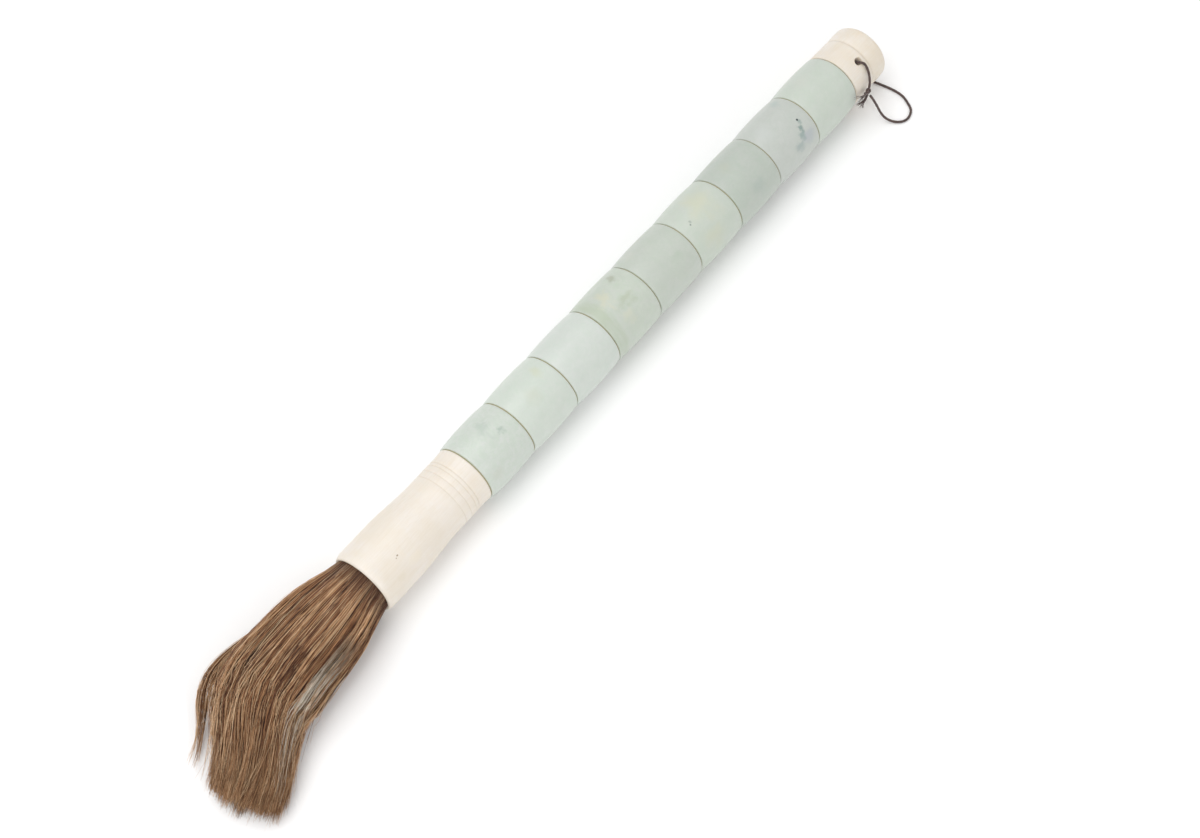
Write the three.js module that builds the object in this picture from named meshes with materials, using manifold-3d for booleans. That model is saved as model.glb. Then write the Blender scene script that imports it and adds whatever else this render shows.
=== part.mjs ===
// Calligraphy brush with a stone-bead handle, lying on its side.
// Millimetres, +Z up. While the pieces are laid out, x = 0 is the mouth of the bone
// sleeve, the handle runs to +x and the hair to -x; the handle's axis is AXIS_Z above
// the surface the brush lies on. The last lines move the origin to the bottom centre.
import * as THREE from 'three';
import { mergeVertices } from 'three/addons/utils/BufferGeometryUtils.js';
import Module from 'manifold-3d';

const wasm = await Module();
wasm.setup();

// ---- driving dimensions -------------------------------------------------------------
const GRIP_RADIUS = 12.6;        // fullest radius of the beads and of the sleeve
const AXIS_Z = GRIP_RADIUS;      // both rest on the surface

const BEAD_COUNT = 9;
const BEAD_LENGTH = 23.2;        // usual bead, end face to end face
// Hand-cut beads differ a little: what each adds to the usual length, sleeve to cap.
const BEAD_TRIM = [-0.9, -0.1, 0, 0, 0.45, 0.45, 0, 0.8, 0];
const BEAD_BELLY = 0.45;         // how much the ends are smaller than the middle
const BEAD_EDGE = 0.4;           // rounded edge at each end
const SEAM_THICKNESS = 0.4;      // cement between neighbours
const SEAM_INSET = 0.5;          // cement stays below the bead's end

const ROD_RADIUS = 4.0;          // wooden rod that strings the beads
const ROD_FIT = 0.3;             // clearance of the rod in every bore
const ROD_IN_CAP = 4.4;

const SLEEVE_LENGTH = 53.0;
const ROD_IN_PLUG = SLEEVE_LENGTH * 28 / 53;   // the rod's reach follows the sleeve's length
const SLEEVE_WAIST_DROP = 1.15;  // waist radius below the grip radius
const SLEEVE_WALL = 1.6;         // wall at the mouth
const SLEEVE_LIP = 3.2;          // rounded lip at the mouth
const MARROW_RADIUS = 8.4;       // bore behind the cup that holds the hair's root
const GROOVE_DEPTH = 0.3;
const GROOVE_WIDTH = 0.7;
const SLEEVE_GROOVES = [5.9, 7.4, 10.0, 13.0];   // back from the bead end
const PLUG_FIT = 0.3;

const CAP_LENGTH = 20.2;
const CAP_DROP = 0.8;            // cap radius at the beads, below the grip radius
const CAP_NECK_DROP = 1.2;       // cap radius at the cross hole
const CAP_TIP_DROP = 1.4;        // cap radius past its groove
const CAP_GROOVE = 11.2;         // from the bead end
const CAP_GROOVE_WIDTH = 1.2;
const CAP_GROOVE_DEPTH = 0.45;
const CAP_ROUND = 3.4;           // rounded end
const CAP_SOCKET_SPARE = 0.4;    // room past the rod's end
const CROSS_HOLE_RADIUS = 1.3;
const CROSS_HOLE_AT = 7.8;       // from the bead end
const CROSS_HOLE_TILT = 30;      // degrees, from vertical towards -y

const ROOT_PLAY = 0.9;           // room round the flexing root, so it can bend
const ROOT_IN_MOUTH = 6.0;       // how far the flexing root reaches into the cup
const ROOT_STRAIGHT = 6.0;       // hair leaves the mouth this far before it spreads
const TUFT_LENGTH = 85.0;
const TUFT_LIFT = 0.8;           // hair lies this far above the surface
const PILLAR_RADIUS = 5.0;       // stiff core hair, at its root
const PILLAR_PLAY = 0.3;
const BUNDLE_LENGTH = 5.0;       // bound butts behind the flexing root
const BINDING_WIDTH = 2.6;
const BINDING_THICKNESS = 0.8;
const CEMENT_THICKNESS = 1.8;
const PIECE_GAP = 0.3;

const CORD_RADIUS = 0.5;
const KNOT_RADIUS = 1.5;

const ROUND = 28;                // sides of the turned pieces
const SMALL_ROUND = 20;

// ---- helpers ------------------------------------------------------------------------
// Shared vertices merged and faces turned outwards, so that the mesh is one closed body.
function closed(geometry) {
  let g = geometry.clone();
  g.deleteAttribute('normal');
  g.deleteAttribute('uv');
  g = mergeVertices(g, 1e-4);
  const p = g.attributes.position;
  const index = Array.from(g.index.array);
  const keep = [];
  const [a, b, c] = [new THREE.Vector3(), new THREE.Vector3(), new THREE.Vector3()];
  let volume = 0;
  for (let i = 0; i < index.length; i += 3) {
    const [u, v, w] = index.slice(i, i + 3);
    if (u === v || v === w || w === u) continue;
    keep.push(u, v, w);
    a.fromBufferAttribute(p, u);
    b.fromBufferAttribute(p, v);
    c.fromBufferAttribute(p, w);
    volume += a.dot(b.cross(c));
  }
  if (volume < 0) keep.reverse();
  g.setIndex(keep);
  return g;
}

function toManifold(geometry) {
  const g = closed(geometry);
  return new wasm.Manifold(new wasm.Mesh({
    numProp: 3,
    vertProperties: new Float32Array(g.attributes.position.array),
    triVerts: new Uint32Array(g.index.array),
  }));
}

function fromManifold(solid) {
  const mesh = solid.getMesh();
  const g = new THREE.BufferGeometry();
  g.setAttribute('position', new THREE.BufferAttribute(mesh.vertProperties.slice(), 3));
  g.setIndex(Array.from(mesh.triVerts));
  return g;
}

// A turned piece on the handle's axis. Profile points are [x, radius].
function turned(profile, sides = ROUND) {
  const points = profile.map(([x, r]) => new THREE.Vector2(r, x));
  const onAxis = profile[0][1] === 0;
  if (!onAxis) points.push(points[0].clone());
  const g = new THREE.LatheGeometry(points, sides);
  g.rotateZ(-Math.PI / 2);
  g.translate(0, 0, AXIS_Z);
  return closed(g);
}

// A run of elliptical rings joined into one closed body.
// Each station is {c: centre, side: unit vector, a: half width, b: half height}.
function loft(stations, sides) {
  const positions = [];
  const index = [];
  for (const s of stations) {
    for (let i = 0; i < sides; i++) {
      const t = (i / sides) * 2 * Math.PI;
      positions.push(
        s.c.x + s.side.x * s.a * Math.cos(t),
        s.c.y + s.side.y * s.a * Math.cos(t),
        s.c.z + s.b * Math.sin(t),
      );
    }
  }
  const first = positions.length / 3;
  const ends = [stations[0].c, stations[stations.length - 1].c];
  for (const e of ends) positions.push(e.x, e.y, e.z);
  for (let k = 0; k < stations.length - 1; k++) {
    for (let i = 0; i < sides; i++) {
      const j = (i + 1) % sides;
      const [p, q, r, s] = [k * sides + i, k * sides + j, (k + 1) * sides + i, (k + 1) * sides + j];
      index.push(p, q, r, q, s, r);
    }
  }
  const last = (stations.length - 1) * sides;
  for (let i = 0; i < sides; i++) {
    const j = (i + 1) % sides;
    index.push(first, j, i, first + 1, last + i, last + j);
  }
  const g = new THREE.BufferGeometry();
  g.setAttribute('position', new THREE.Float32BufferAttribute(positions, 3));
  g.setIndex(index);
  return closed(g);
}

// ---- materials ----------------------------------------------------------------------
const finish = {
  jade: { color: 0xccd6cb, roughness: 0.25, metalness: 0 },
  bone: { color: 0xf1e9dc, roughness: 0.45, metalness: 0 },
  cement: { color: 0x8f8c66, roughness: 0.8, metalness: 0 },
  wood: { color: 0xb08a5a, roughness: 0.7, metalness: 0 },
  rosin: { color: 0x5b3a1e, roughness: 0.4, metalness: 0 },
  thread: { color: 0xcfc3a8, roughness: 0.9, metalness: 0 },
  hair: { color: 0x7a5c43, roughness: 0.8, metalness: 0 },
  cord: { color: 0x3a2622, roughness: 0.6, metalness: 0 },
};

const group = new THREE.Group();
const cordMeshes = [];

function add(name, geometry, look) {
  const mesh = new THREE.Mesh(geometry, new THREE.MeshStandardMaterial(finish[look]));
  mesh.name = name;
  group.add(mesh);
  return mesh;
}

// ---- bone sleeve and what it holds --------------------------------------------------
const mouthRadius = GRIP_RADIUS - SLEEVE_WALL;
const waistRadius = GRIP_RADIUS - SLEEVE_WAIST_DROP;
const rootRadius = mouthRadius - ROOT_PLAY;      // the root is a ball, so it can turn
const bundleStart = rootRadius + PIECE_GAP;
const bundleEnd = bundleStart + BUNDLE_LENGTH;
const cementEnd = bundleEnd + PIECE_GAP + CEMENT_THICKNESS;
const mouthDepth = cementEnd + PIECE_GAP;

// Outside of the sleeve at x, without its grooves: lip, swell, then a waist to the bead end.
function sleeveRadius(x) {
  const lip = SLEEVE_LIP;
  const wall = SLEEVE_WALL * 0.62;
  if (x < lip) {
    const t = 1 - x / lip;
    return GRIP_RADIUS - wall * (1 - Math.sqrt(1 - t * t));
  }
  const [swellEnd, waistStart] = [SLEEVE_LENGTH * 0.32, SLEEVE_LENGTH * 0.68];
  const t = THREE.MathUtils.smoothstep(x, swellEnd, waistStart);
  return THREE.MathUtils.lerp(GRIP_RADIUS, waistRadius, t);
}

function boneSleeve() {
  const outside = [0, 0.25, 0.8, 1.8, SLEEVE_LIP, 0.32 * SLEEVE_LENGTH, 0.44 * SLEEVE_LENGTH,
    0.56 * SLEEVE_LENGTH, 0.68 * SLEEVE_LENGTH].map((x) => [x, sleeveRadius(x)]);
  for (const back of [...SLEEVE_GROOVES].reverse()) {
    const x = SLEEVE_LENGTH - back;
    const half = GROOVE_WIDTH / 2;
    outside.push([x - half, sleeveRadius(x)], [x, sleeveRadius(x) - GROOVE_DEPTH],
      [x + half, sleeveRadius(x)]);
  }
  return turned([
    ...outside,
    [SLEEVE_LENGTH, sleeveRadius(SLEEVE_LENGTH)],
    [SLEEVE_LENGTH, MARROW_RADIUS],
    [mouthDepth, MARROW_RADIUS],
    [mouthDepth, mouthRadius],
    [0.4, mouthRadius],
  ]);
}
add('bone_sleeve', boneSleeve(), 'bone');

const plugRadius = MARROW_RADIUS - PLUG_FIT;
const rodStart = SLEEVE_LENGTH - ROD_IN_PLUG;
const rodBore = ROD_RADIUS + ROD_FIT;
add('sleeve_plug', turned([
  [mouthDepth + PIECE_GAP, 0],
  [mouthDepth + PIECE_GAP, plugRadius],
  [SLEEVE_LENGTH, plugRadius],
  [SLEEVE_LENGTH, rodBore],
  [rodStart - PIECE_GAP, rodBore],
  [rodStart - PIECE_GAP, 0],
], SMALL_ROUND), 'wood');

// The hair's butts: bound with thread and set in rosin at the bottom of the cup.
const bindingOuter = mouthRadius - PIECE_GAP;
const bundleRadius = bindingOuter - BINDING_THICKNESS - PIECE_GAP;
const bindingMid = (bundleStart + bundleEnd) / 2;
add('hair_root_bundle', turned([
  [bundleStart, 0], [bundleStart, bundleRadius], [bundleEnd, bundleRadius], [bundleEnd, 0],
], SMALL_ROUND), 'hair');
add('root_binding', turned([
  [bindingMid - BINDING_WIDTH / 2, bindingOuter - BINDING_THICKNESS],
  [bindingMid - BINDING_WIDTH / 2, bindingOuter],
  [bindingMid + BINDING_WIDTH / 2, bindingOuter],
  [bindingMid + BINDING_WIDTH / 2, bindingOuter - BINDING_THICKNESS],
]), 'thread');
add('root_cement', turned([
  [bundleEnd + PIECE_GAP, 0],
  [bundleEnd + PIECE_GAP, mouthRadius - PIECE_GAP],
  [cementEnd, mouthRadius - PIECE_GAP],
  [cementEnd, 0],
]), 'rosin');

// ---- beads, the cement between them and the rod that strings them ---------------------
const beadEndRadius = GRIP_RADIUS - BEAD_BELLY;

function beadRadius(share) {
  return GRIP_RADIUS - BEAD_BELLY * (2 * share - 1) ** 2;
}

function bead(x, length) {
  const outside = [0.1, 0.3, 0.5, 0.7, 0.9].map((s) => [x + s * length, beadRadius(s)]);
  return turned([
    [x, rodBore],
    [x, beadEndRadius - BEAD_EDGE],
    [x + BEAD_EDGE, beadEndRadius],
    ...outside,
    [x + length - BEAD_EDGE, beadEndRadius],
    [x + length, beadEndRadius - BEAD_EDGE],
    [x + length, rodBore],
  ]);
}

function seam(x) {
  const outer = Math.min(beadEndRadius, waistRadius) - SEAM_INSET;
  return turned([
    [x, rodBore], [x, outer], [x + SEAM_THICKNESS, outer], [x + SEAM_THICKNESS, rodBore],
  ], SMALL_ROUND);
}

let reach = SLEEVE_LENGTH;
for (let i = 0; i < BEAD_COUNT; i++) {
  add(`cement_seam_${i + 1}`, seam(reach), 'cement');
  reach += SEAM_THICKNESS;
  const length = BEAD_LENGTH + BEAD_TRIM[i % BEAD_TRIM.length];
  add(`jade_bead_${i + 1}`, bead(reach, length), 'jade');
  reach += length;
}
add(`cement_seam_${BEAD_COUNT + 1}`, seam(reach), 'cement');
const capStart = reach + SEAM_THICKNESS;
const capEnd = capStart + CAP_LENGTH;

add('core_rod', turned([
  [rodStart, 0], [rodStart, ROD_RADIUS],
  [capStart + ROD_IN_CAP, ROD_RADIUS], [capStart + ROD_IN_CAP, 0],
], SMALL_ROUND), 'wood');

// ---- end cap ------------------------------------------------------------------------
const neckRadius = GRIP_RADIUS - CAP_NECK_DROP;
const tipRadius = GRIP_RADIUS - CAP_TIP_DROP;

function endCap() {
  const socketEnd = capStart + ROD_IN_CAP + CAP_SOCKET_SPARE;
  const groove = capStart + CAP_GROOVE;
  const round = [0, 22.5, 45, 67.5, 90].map((deg) => {
    const t = THREE.MathUtils.degToRad(deg);
    return [capEnd - CAP_ROUND * (1 - Math.sin(t)), tipRadius - CAP_ROUND * (1 - Math.cos(t))];
  });
  const body = toManifold(turned([
    [socketEnd, 0],
    [socketEnd, rodBore],
    [capStart, rodBore],
    [capStart, GRIP_RADIUS - CAP_DROP],
    [capStart + 4, neckRadius],
    [groove - CAP_GROOVE_WIDTH / 2, neckRadius],
    [groove, tipRadius - CAP_GROOVE_DEPTH],
    [groove + CAP_GROOVE_WIDTH / 2, tipRadius],
    ...round,
    [capEnd, 0],
  ]));
  const drill = new THREE.CylinderGeometry(CROSS_HOLE_RADIUS, CROSS_HOLE_RADIUS,
    4 * GRIP_RADIUS, 12);
  drill.rotateX(Math.PI / 2 + THREE.MathUtils.degToRad(CROSS_HOLE_TILT));
  drill.translate(capStart + CROSS_HOLE_AT, 0, AXIS_Z);
  return fromManifold(body.subtract(toManifold(drill)));
}
add('end_cap', endCap(), 'bone');

// ---- hair ---------------------------------------------------------------------------
// The tuft lies on the surface, fanned flat and brushed over towards -y near its end.
// Each row: share of the tuft's length, sideways shift as a share of that length,
// half width and half height as multiples of the root's radius.
const TUFT_SHAPE = [
  [0.115, 0.004, 1.22, 1.10],
  [0.200, 0.007, 1.48, 1.11],
  [0.330, 0.013, 1.64, 1.04],
  [0.470, 0.015, 1.74, 0.92],
  [0.590, 0.004, 1.90, 0.79],
  [0.695, -0.047, 1.68, 0.66],
  [0.790, -0.115, 1.42, 0.52],
  [0.880, -0.180, 1.28, 0.37],
  [0.955, -0.230, 0.94, 0.22],
  [1.000, -0.245, 0.50, 0.11],
];

function tuftStations() {
  const straight = [
    [ROOT_IN_MOUTH, Math.sqrt(rootRadius ** 2 - ROOT_IN_MOUTH ** 2)],
    [ROOT_IN_MOUTH * 0.6, Math.sqrt(rootRadius ** 2 - (ROOT_IN_MOUTH * 0.6) ** 2)],
    [0, rootRadius],
    [-ROOT_STRAIGHT, rootRadius],
  ].map(([x, r]) => ({ c: new THREE.Vector3(x, 0, AXIS_Z), a: r, b: r }));
  const spread = TUFT_SHAPE.map(([along, aside, wide, high]) => ({
    c: new THREE.Vector3(-along * TUFT_LENGTH, aside * TUFT_LENGTH, TUFT_LIFT + high * rootRadius),
    a: wide * rootRadius,
    b: high * rootRadius,
  }));
  const all = [...straight, ...spread];
  all.forEach((s, k) => {
    const before = all[Math.max(0, k - 1)].c;
    const after = all[Math.min(all.length - 1, k + 1)].c;
    const run = after.clone().sub(before).setZ(0).normalize();
    s.side = k < 4 ? new THREE.Vector3(0, 1, 0) : new THREE.Vector3(run.y, -run.x, 0);
  });
  return all;
}
const stations = tuftStations();

// The pillar is the stiff core; the mantle is the cloak of longer hair round it.
const PILLAR_TO = 10;            // last station that the pillar reaches
function pillarStations(grow, rootReach) {
  return stations.slice(0, PILLAR_TO + 1).map((s, k) => {
    const c = s.c.clone();
    const thin = k < 4 ? 1 : 1 - 0.085 * (k - 3);
    if (k === 0) c.x += rootReach;
    if (k === PILLAR_TO) c.addScaledVector(new THREE.Vector3(s.side.y, -s.side.x, 0), -grow);
    const wide = k < 4 ? 1 : 1.5;
    const high = Math.min(PILLAR_RADIUS * thin, s.b * 0.5);
    return { c, side: s.side, a: PILLAR_RADIUS * thin * wide + grow, b: high + grow };
  });
}
const cloak = toManifold(loft(stations, 24))
  .subtract(toManifold(loft(pillarStations(PILLAR_PLAY, 1), 16)));
add('hair_mantle', fromManifold(cloak), 'hair');
add('hair_pillar', loft(pillarStations(0, 0), 16), 'hair');

// A lock that has come away from the +y side of the tuft. Each row: station (a share
// between two is allowed), gap to the mantle, radius, height as a share of the mantle's.
const LOCK = [
  [7.0, 0.4, 0.5, 0.85],
  [7.5, 0.9, 0.9, 0.8],
  [8.0, 1.3, 1.1, 0.75],
  [8.5, 1.8, 1.1, 0.7],
  [9.0, 2.2, 1.0, 0.6],
  [9.5, 2.6, 0.8, 0.52],
  [10.0, 2.9, 0.6, 0.4],
  [10.4, 3.1, 0.3, 0.3],
];
function lockStations() {
  const all = LOCK.map(([k, gap, r, high]) => {
    const [s, e] = [stations[Math.floor(k)], stations[Math.min(stations.length - 1, Math.ceil(k))]];
    const t = k - Math.floor(k);
    const side = s.side.clone().lerp(e.side, t).normalize();
    const c = s.c.clone().lerp(e.c, t);
    const wide = THREE.MathUtils.lerp(s.a, e.a, t);
    const tall = THREE.MathUtils.lerp(s.b, e.b, t);
    const out = side.y > 0 ? 1 : -1;
    c.addScaledVector(side, out * (wide + gap + r));
    c.z = TUFT_LIFT + Math.max(r, tall * high);
    return { c, a: r, b: r };
  });
  all.forEach((s, k) => {
    const run = all[Math.min(all.length - 1, k + 1)].c.clone()
      .sub(all[Math.max(0, k - 1)].c).setZ(0).normalize();
    s.side = new THREE.Vector3(run.y, -run.x, 0);
  });
  return all;
}
add('hair_stray_lock', loft(lockStations(), 8), 'hair');

// ---- hang cord ----------------------------------------------------------------------
// From the knot up over the cap, down through the cross hole, out under the cap and
// round in a loop on the surface, back up to the knot.
const KNOT = [271.1, -13.5, 13.3];
const CORD_ROUTE = [
  [271.9, -13.5, 15.2], [273.3, -12.6, 16.9], [274.9, -10.5, 19.6], [275.2, -8.1, 22.1],
  [274.5, -6.4, 22.4], [274.3, -5.05, 21.35], [274.3, -3.0, 17.8], [274.3, 0, 12.6],
  [274.3, 3.0, 7.4], [274.3, 4.9, 4.1], [275.0, 5.75, 1.7], [276.7, 4.9, 0.7],
  [279.0, 3.0, 0.52], [281.6, 0.4, 0.52], [283.9, -3.0, 0.52], [285.3, -6.8, 0.52],
  [286.4, -11.8, 0.52], [287.1, -16.5, 0.52], [286.9, -20.4, 0.52], [285.6, -23.6, 0.52],
  [283.4, -26.8, 0.52], [279.7, -28.1, 0.52], [276.9, -27.3, 0.57], [274.6, -24.8, 0.9],
  [273.3, -22.0, 2.0], [272.8, -19.8, 4.0], [272.6, -18.2, 6.3], [272.1, -16.3, 9.5],
  [271.6, -14.7, 11.8],
];
const TAILS = [
  [[269.2, -13.9, 14.0], [267.4, -14.0, 15.2], [265.3, -13.8, 16.4], [263.4, -13.9, 17.0]],
  [[269.0, -14.2, 12.8], [267.6, -14.5, 12.6], [266.3, -14.6, 12.0], [265.4, -14.6, 11.0]],
];

function tube(route, steps) {
  const ring = new THREE.Shape();
  for (let i = 0; i < 8; i++) {
    const t = (i / 8) * 2 * Math.PI;
    const point = [CORD_RADIUS * Math.cos(t), CORD_RADIUS * Math.sin(t)];
    if (i) ring.lineTo(...point);
    else ring.moveTo(...point);
  }
  ring.closePath();
  const path = new THREE.CatmullRomCurve3(route.map((p) => new THREE.Vector3(...p)));
  return closed(new THREE.ExtrudeGeometry(ring, {
    steps, curveSegments: 1, bevelEnabled: false, extrudePath: path,
  }));
}

cordMeshes.push(add('hang_cord', tube(CORD_ROUTE, 46), 'cord'));
const knot = new THREE.SphereGeometry(KNOT_RADIUS, 14, 10);
knot.scale(1.05, 0.9, 1);
knot.translate(...KNOT);
cordMeshes.push(add('cord_knot', closed(knot), 'cord'));
TAILS.forEach((route, i) => {
  cordMeshes.push(add(`cord_tail_${i + 1}`, tube(route, 6), 'cord'));
});

// ---- origin: bottom centre of everything but the cord -------------------------------
const box = new THREE.Box3();
for (const mesh of group.children) {
  if (!cordMeshes.includes(mesh)) box.expandByObject(mesh);
}
const middle = box.getCenter(new THREE.Vector3());
group.position.set(-middle.x, -middle.y, -box.min.z);
group.updateMatrixWorld(true);

export default group;
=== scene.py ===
"""A calligraphy brush lying on a table: nine jade beads on a rod, a turned bone sleeve and
cap, a bent tuft of brown hair and a knotted hang cord. Metres, +X from the hair to the
cap, +Z up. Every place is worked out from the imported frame."""

import math

import bmesh
import bpy
import numpy as np
from mathutils import Matrix, Vector, noise


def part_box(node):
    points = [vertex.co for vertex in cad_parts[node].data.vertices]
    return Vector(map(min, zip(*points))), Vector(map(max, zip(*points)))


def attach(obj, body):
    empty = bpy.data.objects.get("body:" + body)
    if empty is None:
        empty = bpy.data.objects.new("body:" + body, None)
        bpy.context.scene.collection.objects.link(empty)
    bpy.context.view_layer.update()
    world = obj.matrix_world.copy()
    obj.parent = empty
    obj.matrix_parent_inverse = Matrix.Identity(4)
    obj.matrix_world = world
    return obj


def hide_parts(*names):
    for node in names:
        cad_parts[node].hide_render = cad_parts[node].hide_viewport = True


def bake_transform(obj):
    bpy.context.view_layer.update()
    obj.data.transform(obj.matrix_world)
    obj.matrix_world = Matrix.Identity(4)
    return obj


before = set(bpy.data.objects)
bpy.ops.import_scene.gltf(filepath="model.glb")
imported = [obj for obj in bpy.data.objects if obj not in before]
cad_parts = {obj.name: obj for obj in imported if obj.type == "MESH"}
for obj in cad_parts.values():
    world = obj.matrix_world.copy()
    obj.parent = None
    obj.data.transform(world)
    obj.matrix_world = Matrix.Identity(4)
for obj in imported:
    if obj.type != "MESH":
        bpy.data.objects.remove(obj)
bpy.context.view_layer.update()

MM = 0.001

# ---- places taken from the frame ----
sleeve_lo, sleeve_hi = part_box("bone_sleeve")
cap_lo, cap_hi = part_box("end_cap")
MOUTH_X = sleeve_lo[0]
SLEEVE_END = sleeve_hi[0]
CAP_START = cap_lo[0]
CAP_END = cap_hi[0]
AXIS_Y = (sleeve_lo[1] + sleeve_hi[1]) / 2
AXIS_Z = (sleeve_lo[2] + sleeve_hi[2]) / 2
GRIP = (sleeve_hi[2] - sleeve_lo[2]) / 2
BEADS = 9
BORE = 4.3 * MM              # radius of the hole that the rod goes through


def from_mouth(x, y, z):
    """A point given in millimetres from the sleeve's mouth, with its height above the table."""
    return Vector((MOUTH_X + x * MM, AXIS_Y + y * MM, z * MM))


# ---- camera ----
def make_camera():
    """The brush seen from above its hair, looking down along the handle."""
    azimuth = math.radians(-51.35)
    elevation = math.radians(61.07)
    from_mouth_mm = (-189.26, -252.64, 666.90)
    x, y, z = (a + b * MM for a, b in zip((MOUTH_X, AXIS_Y, AXIS_Z), from_mouth_mm))
    back = Vector((math.sin(azimuth) * math.cos(elevation),
                   -math.cos(azimuth) * math.cos(elevation), math.sin(elevation)))
    right = Vector((math.cos(azimuth), math.sin(azimuth), 0))
    up = back.cross(right)
    data = bpy.data.cameras.new("camera")
    data.sensor_width = 36.0
    data.lens = 66.0
    data.clip_start = 0.01
    camera = bpy.data.objects.new("camera", data)
    camera.matrix_world = Matrix((
        (right.x, up.x, back.x, x),
        (right.y, up.y, back.y, y),
        (right.z, up.z, back.z, z),
        (0, 0, 0, 1)))
    bpy.context.scene.collection.objects.link(camera)
    bpy.context.scene.camera = camera


make_camera()


# ---- small helpers for meshes ----
def link(obj):
    bpy.context.scene.collection.objects.link(obj)
    return obj


def mesh_object(name, verts, faces):
    mesh = bpy.data.meshes.new(name)
    mesh.from_pydata([tuple(v) for v in verts], [], faces)
    bm = bmesh.new()
    bm.from_mesh(mesh)
    bmesh.ops.recalc_face_normals(bm, faces=bm.faces)
    bm.to_mesh(mesh)
    bm.free()
    mesh.polygons.foreach_set("use_smooth", [True] * len(mesh.polygons))
    return link(bpy.data.objects.new(name, mesh))


def skin(rings, sides, closed=False):
    """Faces between rings of points. The ends are capped, unless the last ring joins the
    first again."""
    faces = []
    for k in range(rings if closed else rings - 1):
        after = (k + 1) % rings
        for i in range(sides):
            j = (i + 1) % sides
            faces.append((k * sides + i, k * sides + j, after * sides + j, after * sides + i))
    if not closed:
        faces.append(tuple(range(sides)))
        faces.append(tuple((rings - 1) * sides + i for i in range(sides)))
    return faces


def sharpen(obj, degrees=38):
    """Marks the corners of a turned piece sharp, so that its curves stay smooth."""
    obj.data.set_sharp_from_angle(angle=math.radians(degrees))


def turn(name, profile, sides=112, wobble=0.0, seed=0.0):
    """A piece turned about the handle's axis. profile is a closed run of (x, radius), in
    metres. wobble lets the hand-worked surface stray from round by that much."""
    verts = []
    for x, r in profile:
        for i in range(sides):
            a = 2 * math.pi * i / sides
            bump_at = Vector((x * 90, 2.2 * math.cos(a) + seed, 2.2 * math.sin(a)))
            stray = wobble * 0.5 * (noise.noise(bump_at) - 1)
            rr = r + stray
            verts.append((x, AXIS_Y + rr * math.sin(a), AXIS_Z + rr * math.cos(a)))
    piece = mesh_object(name, verts, skin(len(profile), sides, closed=True))
    sharpen(piece)
    return piece


def arc(cx, cr, radius, start, end, steps):
    """Points (x, radius) round a corner whose centre is (cx, cr)."""
    out = []
    for i in range(steps + 1):
        t = math.radians(start + (end - start) * i / steps)
        out.append((cx + radius * math.cos(t), cr + radius * math.sin(t)))
    return out


def between(p, q, start, end, t):
    """p at start, q at end, and in between at t."""
    return p * ((end - t) / (end - start)) + q * ((t - start) / (end - start))


def smooth_run(points, per_span):
    """A smooth curve through points, as a list of vectors (a centripetal spline)."""
    pts = [Vector(p) for p in points]
    pts = [pts[0] * 2 - pts[1]] + pts + [pts[-1] * 2 - pts[-2]]
    out = []
    for k in range(1, len(pts) - 2):
        p0, p1, p2, p3 = pts[k - 1:k + 3]
        t0 = 0.0
        t1 = t0 + (p1 - p0).length ** 0.5
        t2 = t1 + (p2 - p1).length ** 0.5
        t3 = t2 + (p3 - p2).length ** 0.5
        for i in range(per_span):
            t = t1 + (t2 - t1) * i / per_span
            a1 = between(p0, p1, t0, t1, t)
            a2 = between(p1, p2, t1, t2, t)
            a3 = between(p2, p3, t2, t3, t)
            b1 = between(a1, a2, t0, t2, t)
            b2 = between(a2, a3, t1, t3, t)
            out.append(between(b1, b2, t1, t2, t))
    out.append(pts[-2].copy())
    return out


def even_run(points, step):
    """The same curve with its points a fixed step apart."""
    co = np.array([tuple(p) for p in points])
    length = np.concatenate([[0], np.cumsum(np.linalg.norm(np.diff(co, axis=0), axis=1))])
    count = max(2, int(round(length[-1] / step)))
    at = np.linspace(0, length[-1], count + 1)
    return [Vector([np.interp(a, length, co[:, k]) for k in range(3)]) for a in at]


def twisted_tube(name, path, radius, plies=2, lay=0.0022, groove=0.14, sides=16, shrink=None):
    """A closed tube along path whose surface is twisted like a laid cord. shrink gives the
    radius as a share at each point, from 0 at the start to 1 at the end."""
    verts = []
    ref = None
    run = 0.0
    for k, p in enumerate(path):
        ahead = path[min(k + 1, len(path) - 1)] - path[max(k - 1, 0)]
        tangent = ahead.normalized()
        if ref is None:
            ref = tangent.orthogonal().normalized()
        ref = (ref - tangent * ref.dot(tangent)).normalized()
        other = tangent.cross(ref)
        if k:
            run += (p - path[k - 1]).length
        share = shrink(k / (len(path) - 1)) if shrink else 1.0
        for i in range(sides):
            a = 2 * math.pi * i / sides
            ply = abs(math.cos(plies * (a - 2 * math.pi * run / (lay * plies)) / 2))
            r = radius * share * (1 - groove * (1 - ply) ** 2)
            verts.append(p + ref * (r * math.cos(a)) + other * (r * math.sin(a)))
    return mesh_object(name, verts, skin(len(path), sides))


# ---- small helpers for materials ----
def paint(r, g, b):
    """A colour given as 0 to 255 screen values, as the shader wants it."""
    def linear(v):
        v /= 255
        return v / 12.92 if v <= 0.04045 else ((v + 0.055) / 1.055) ** 2.4
    return (linear(r), linear(g), linear(b), 1.0)


def feed(tree, socket, value):
    """Links another node's output to a socket, or sets the socket to a plain value."""
    if isinstance(value, bpy.types.NodeSocket):
        tree.links.new(value, socket)
    else:
        socket.default_value = value


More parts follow.
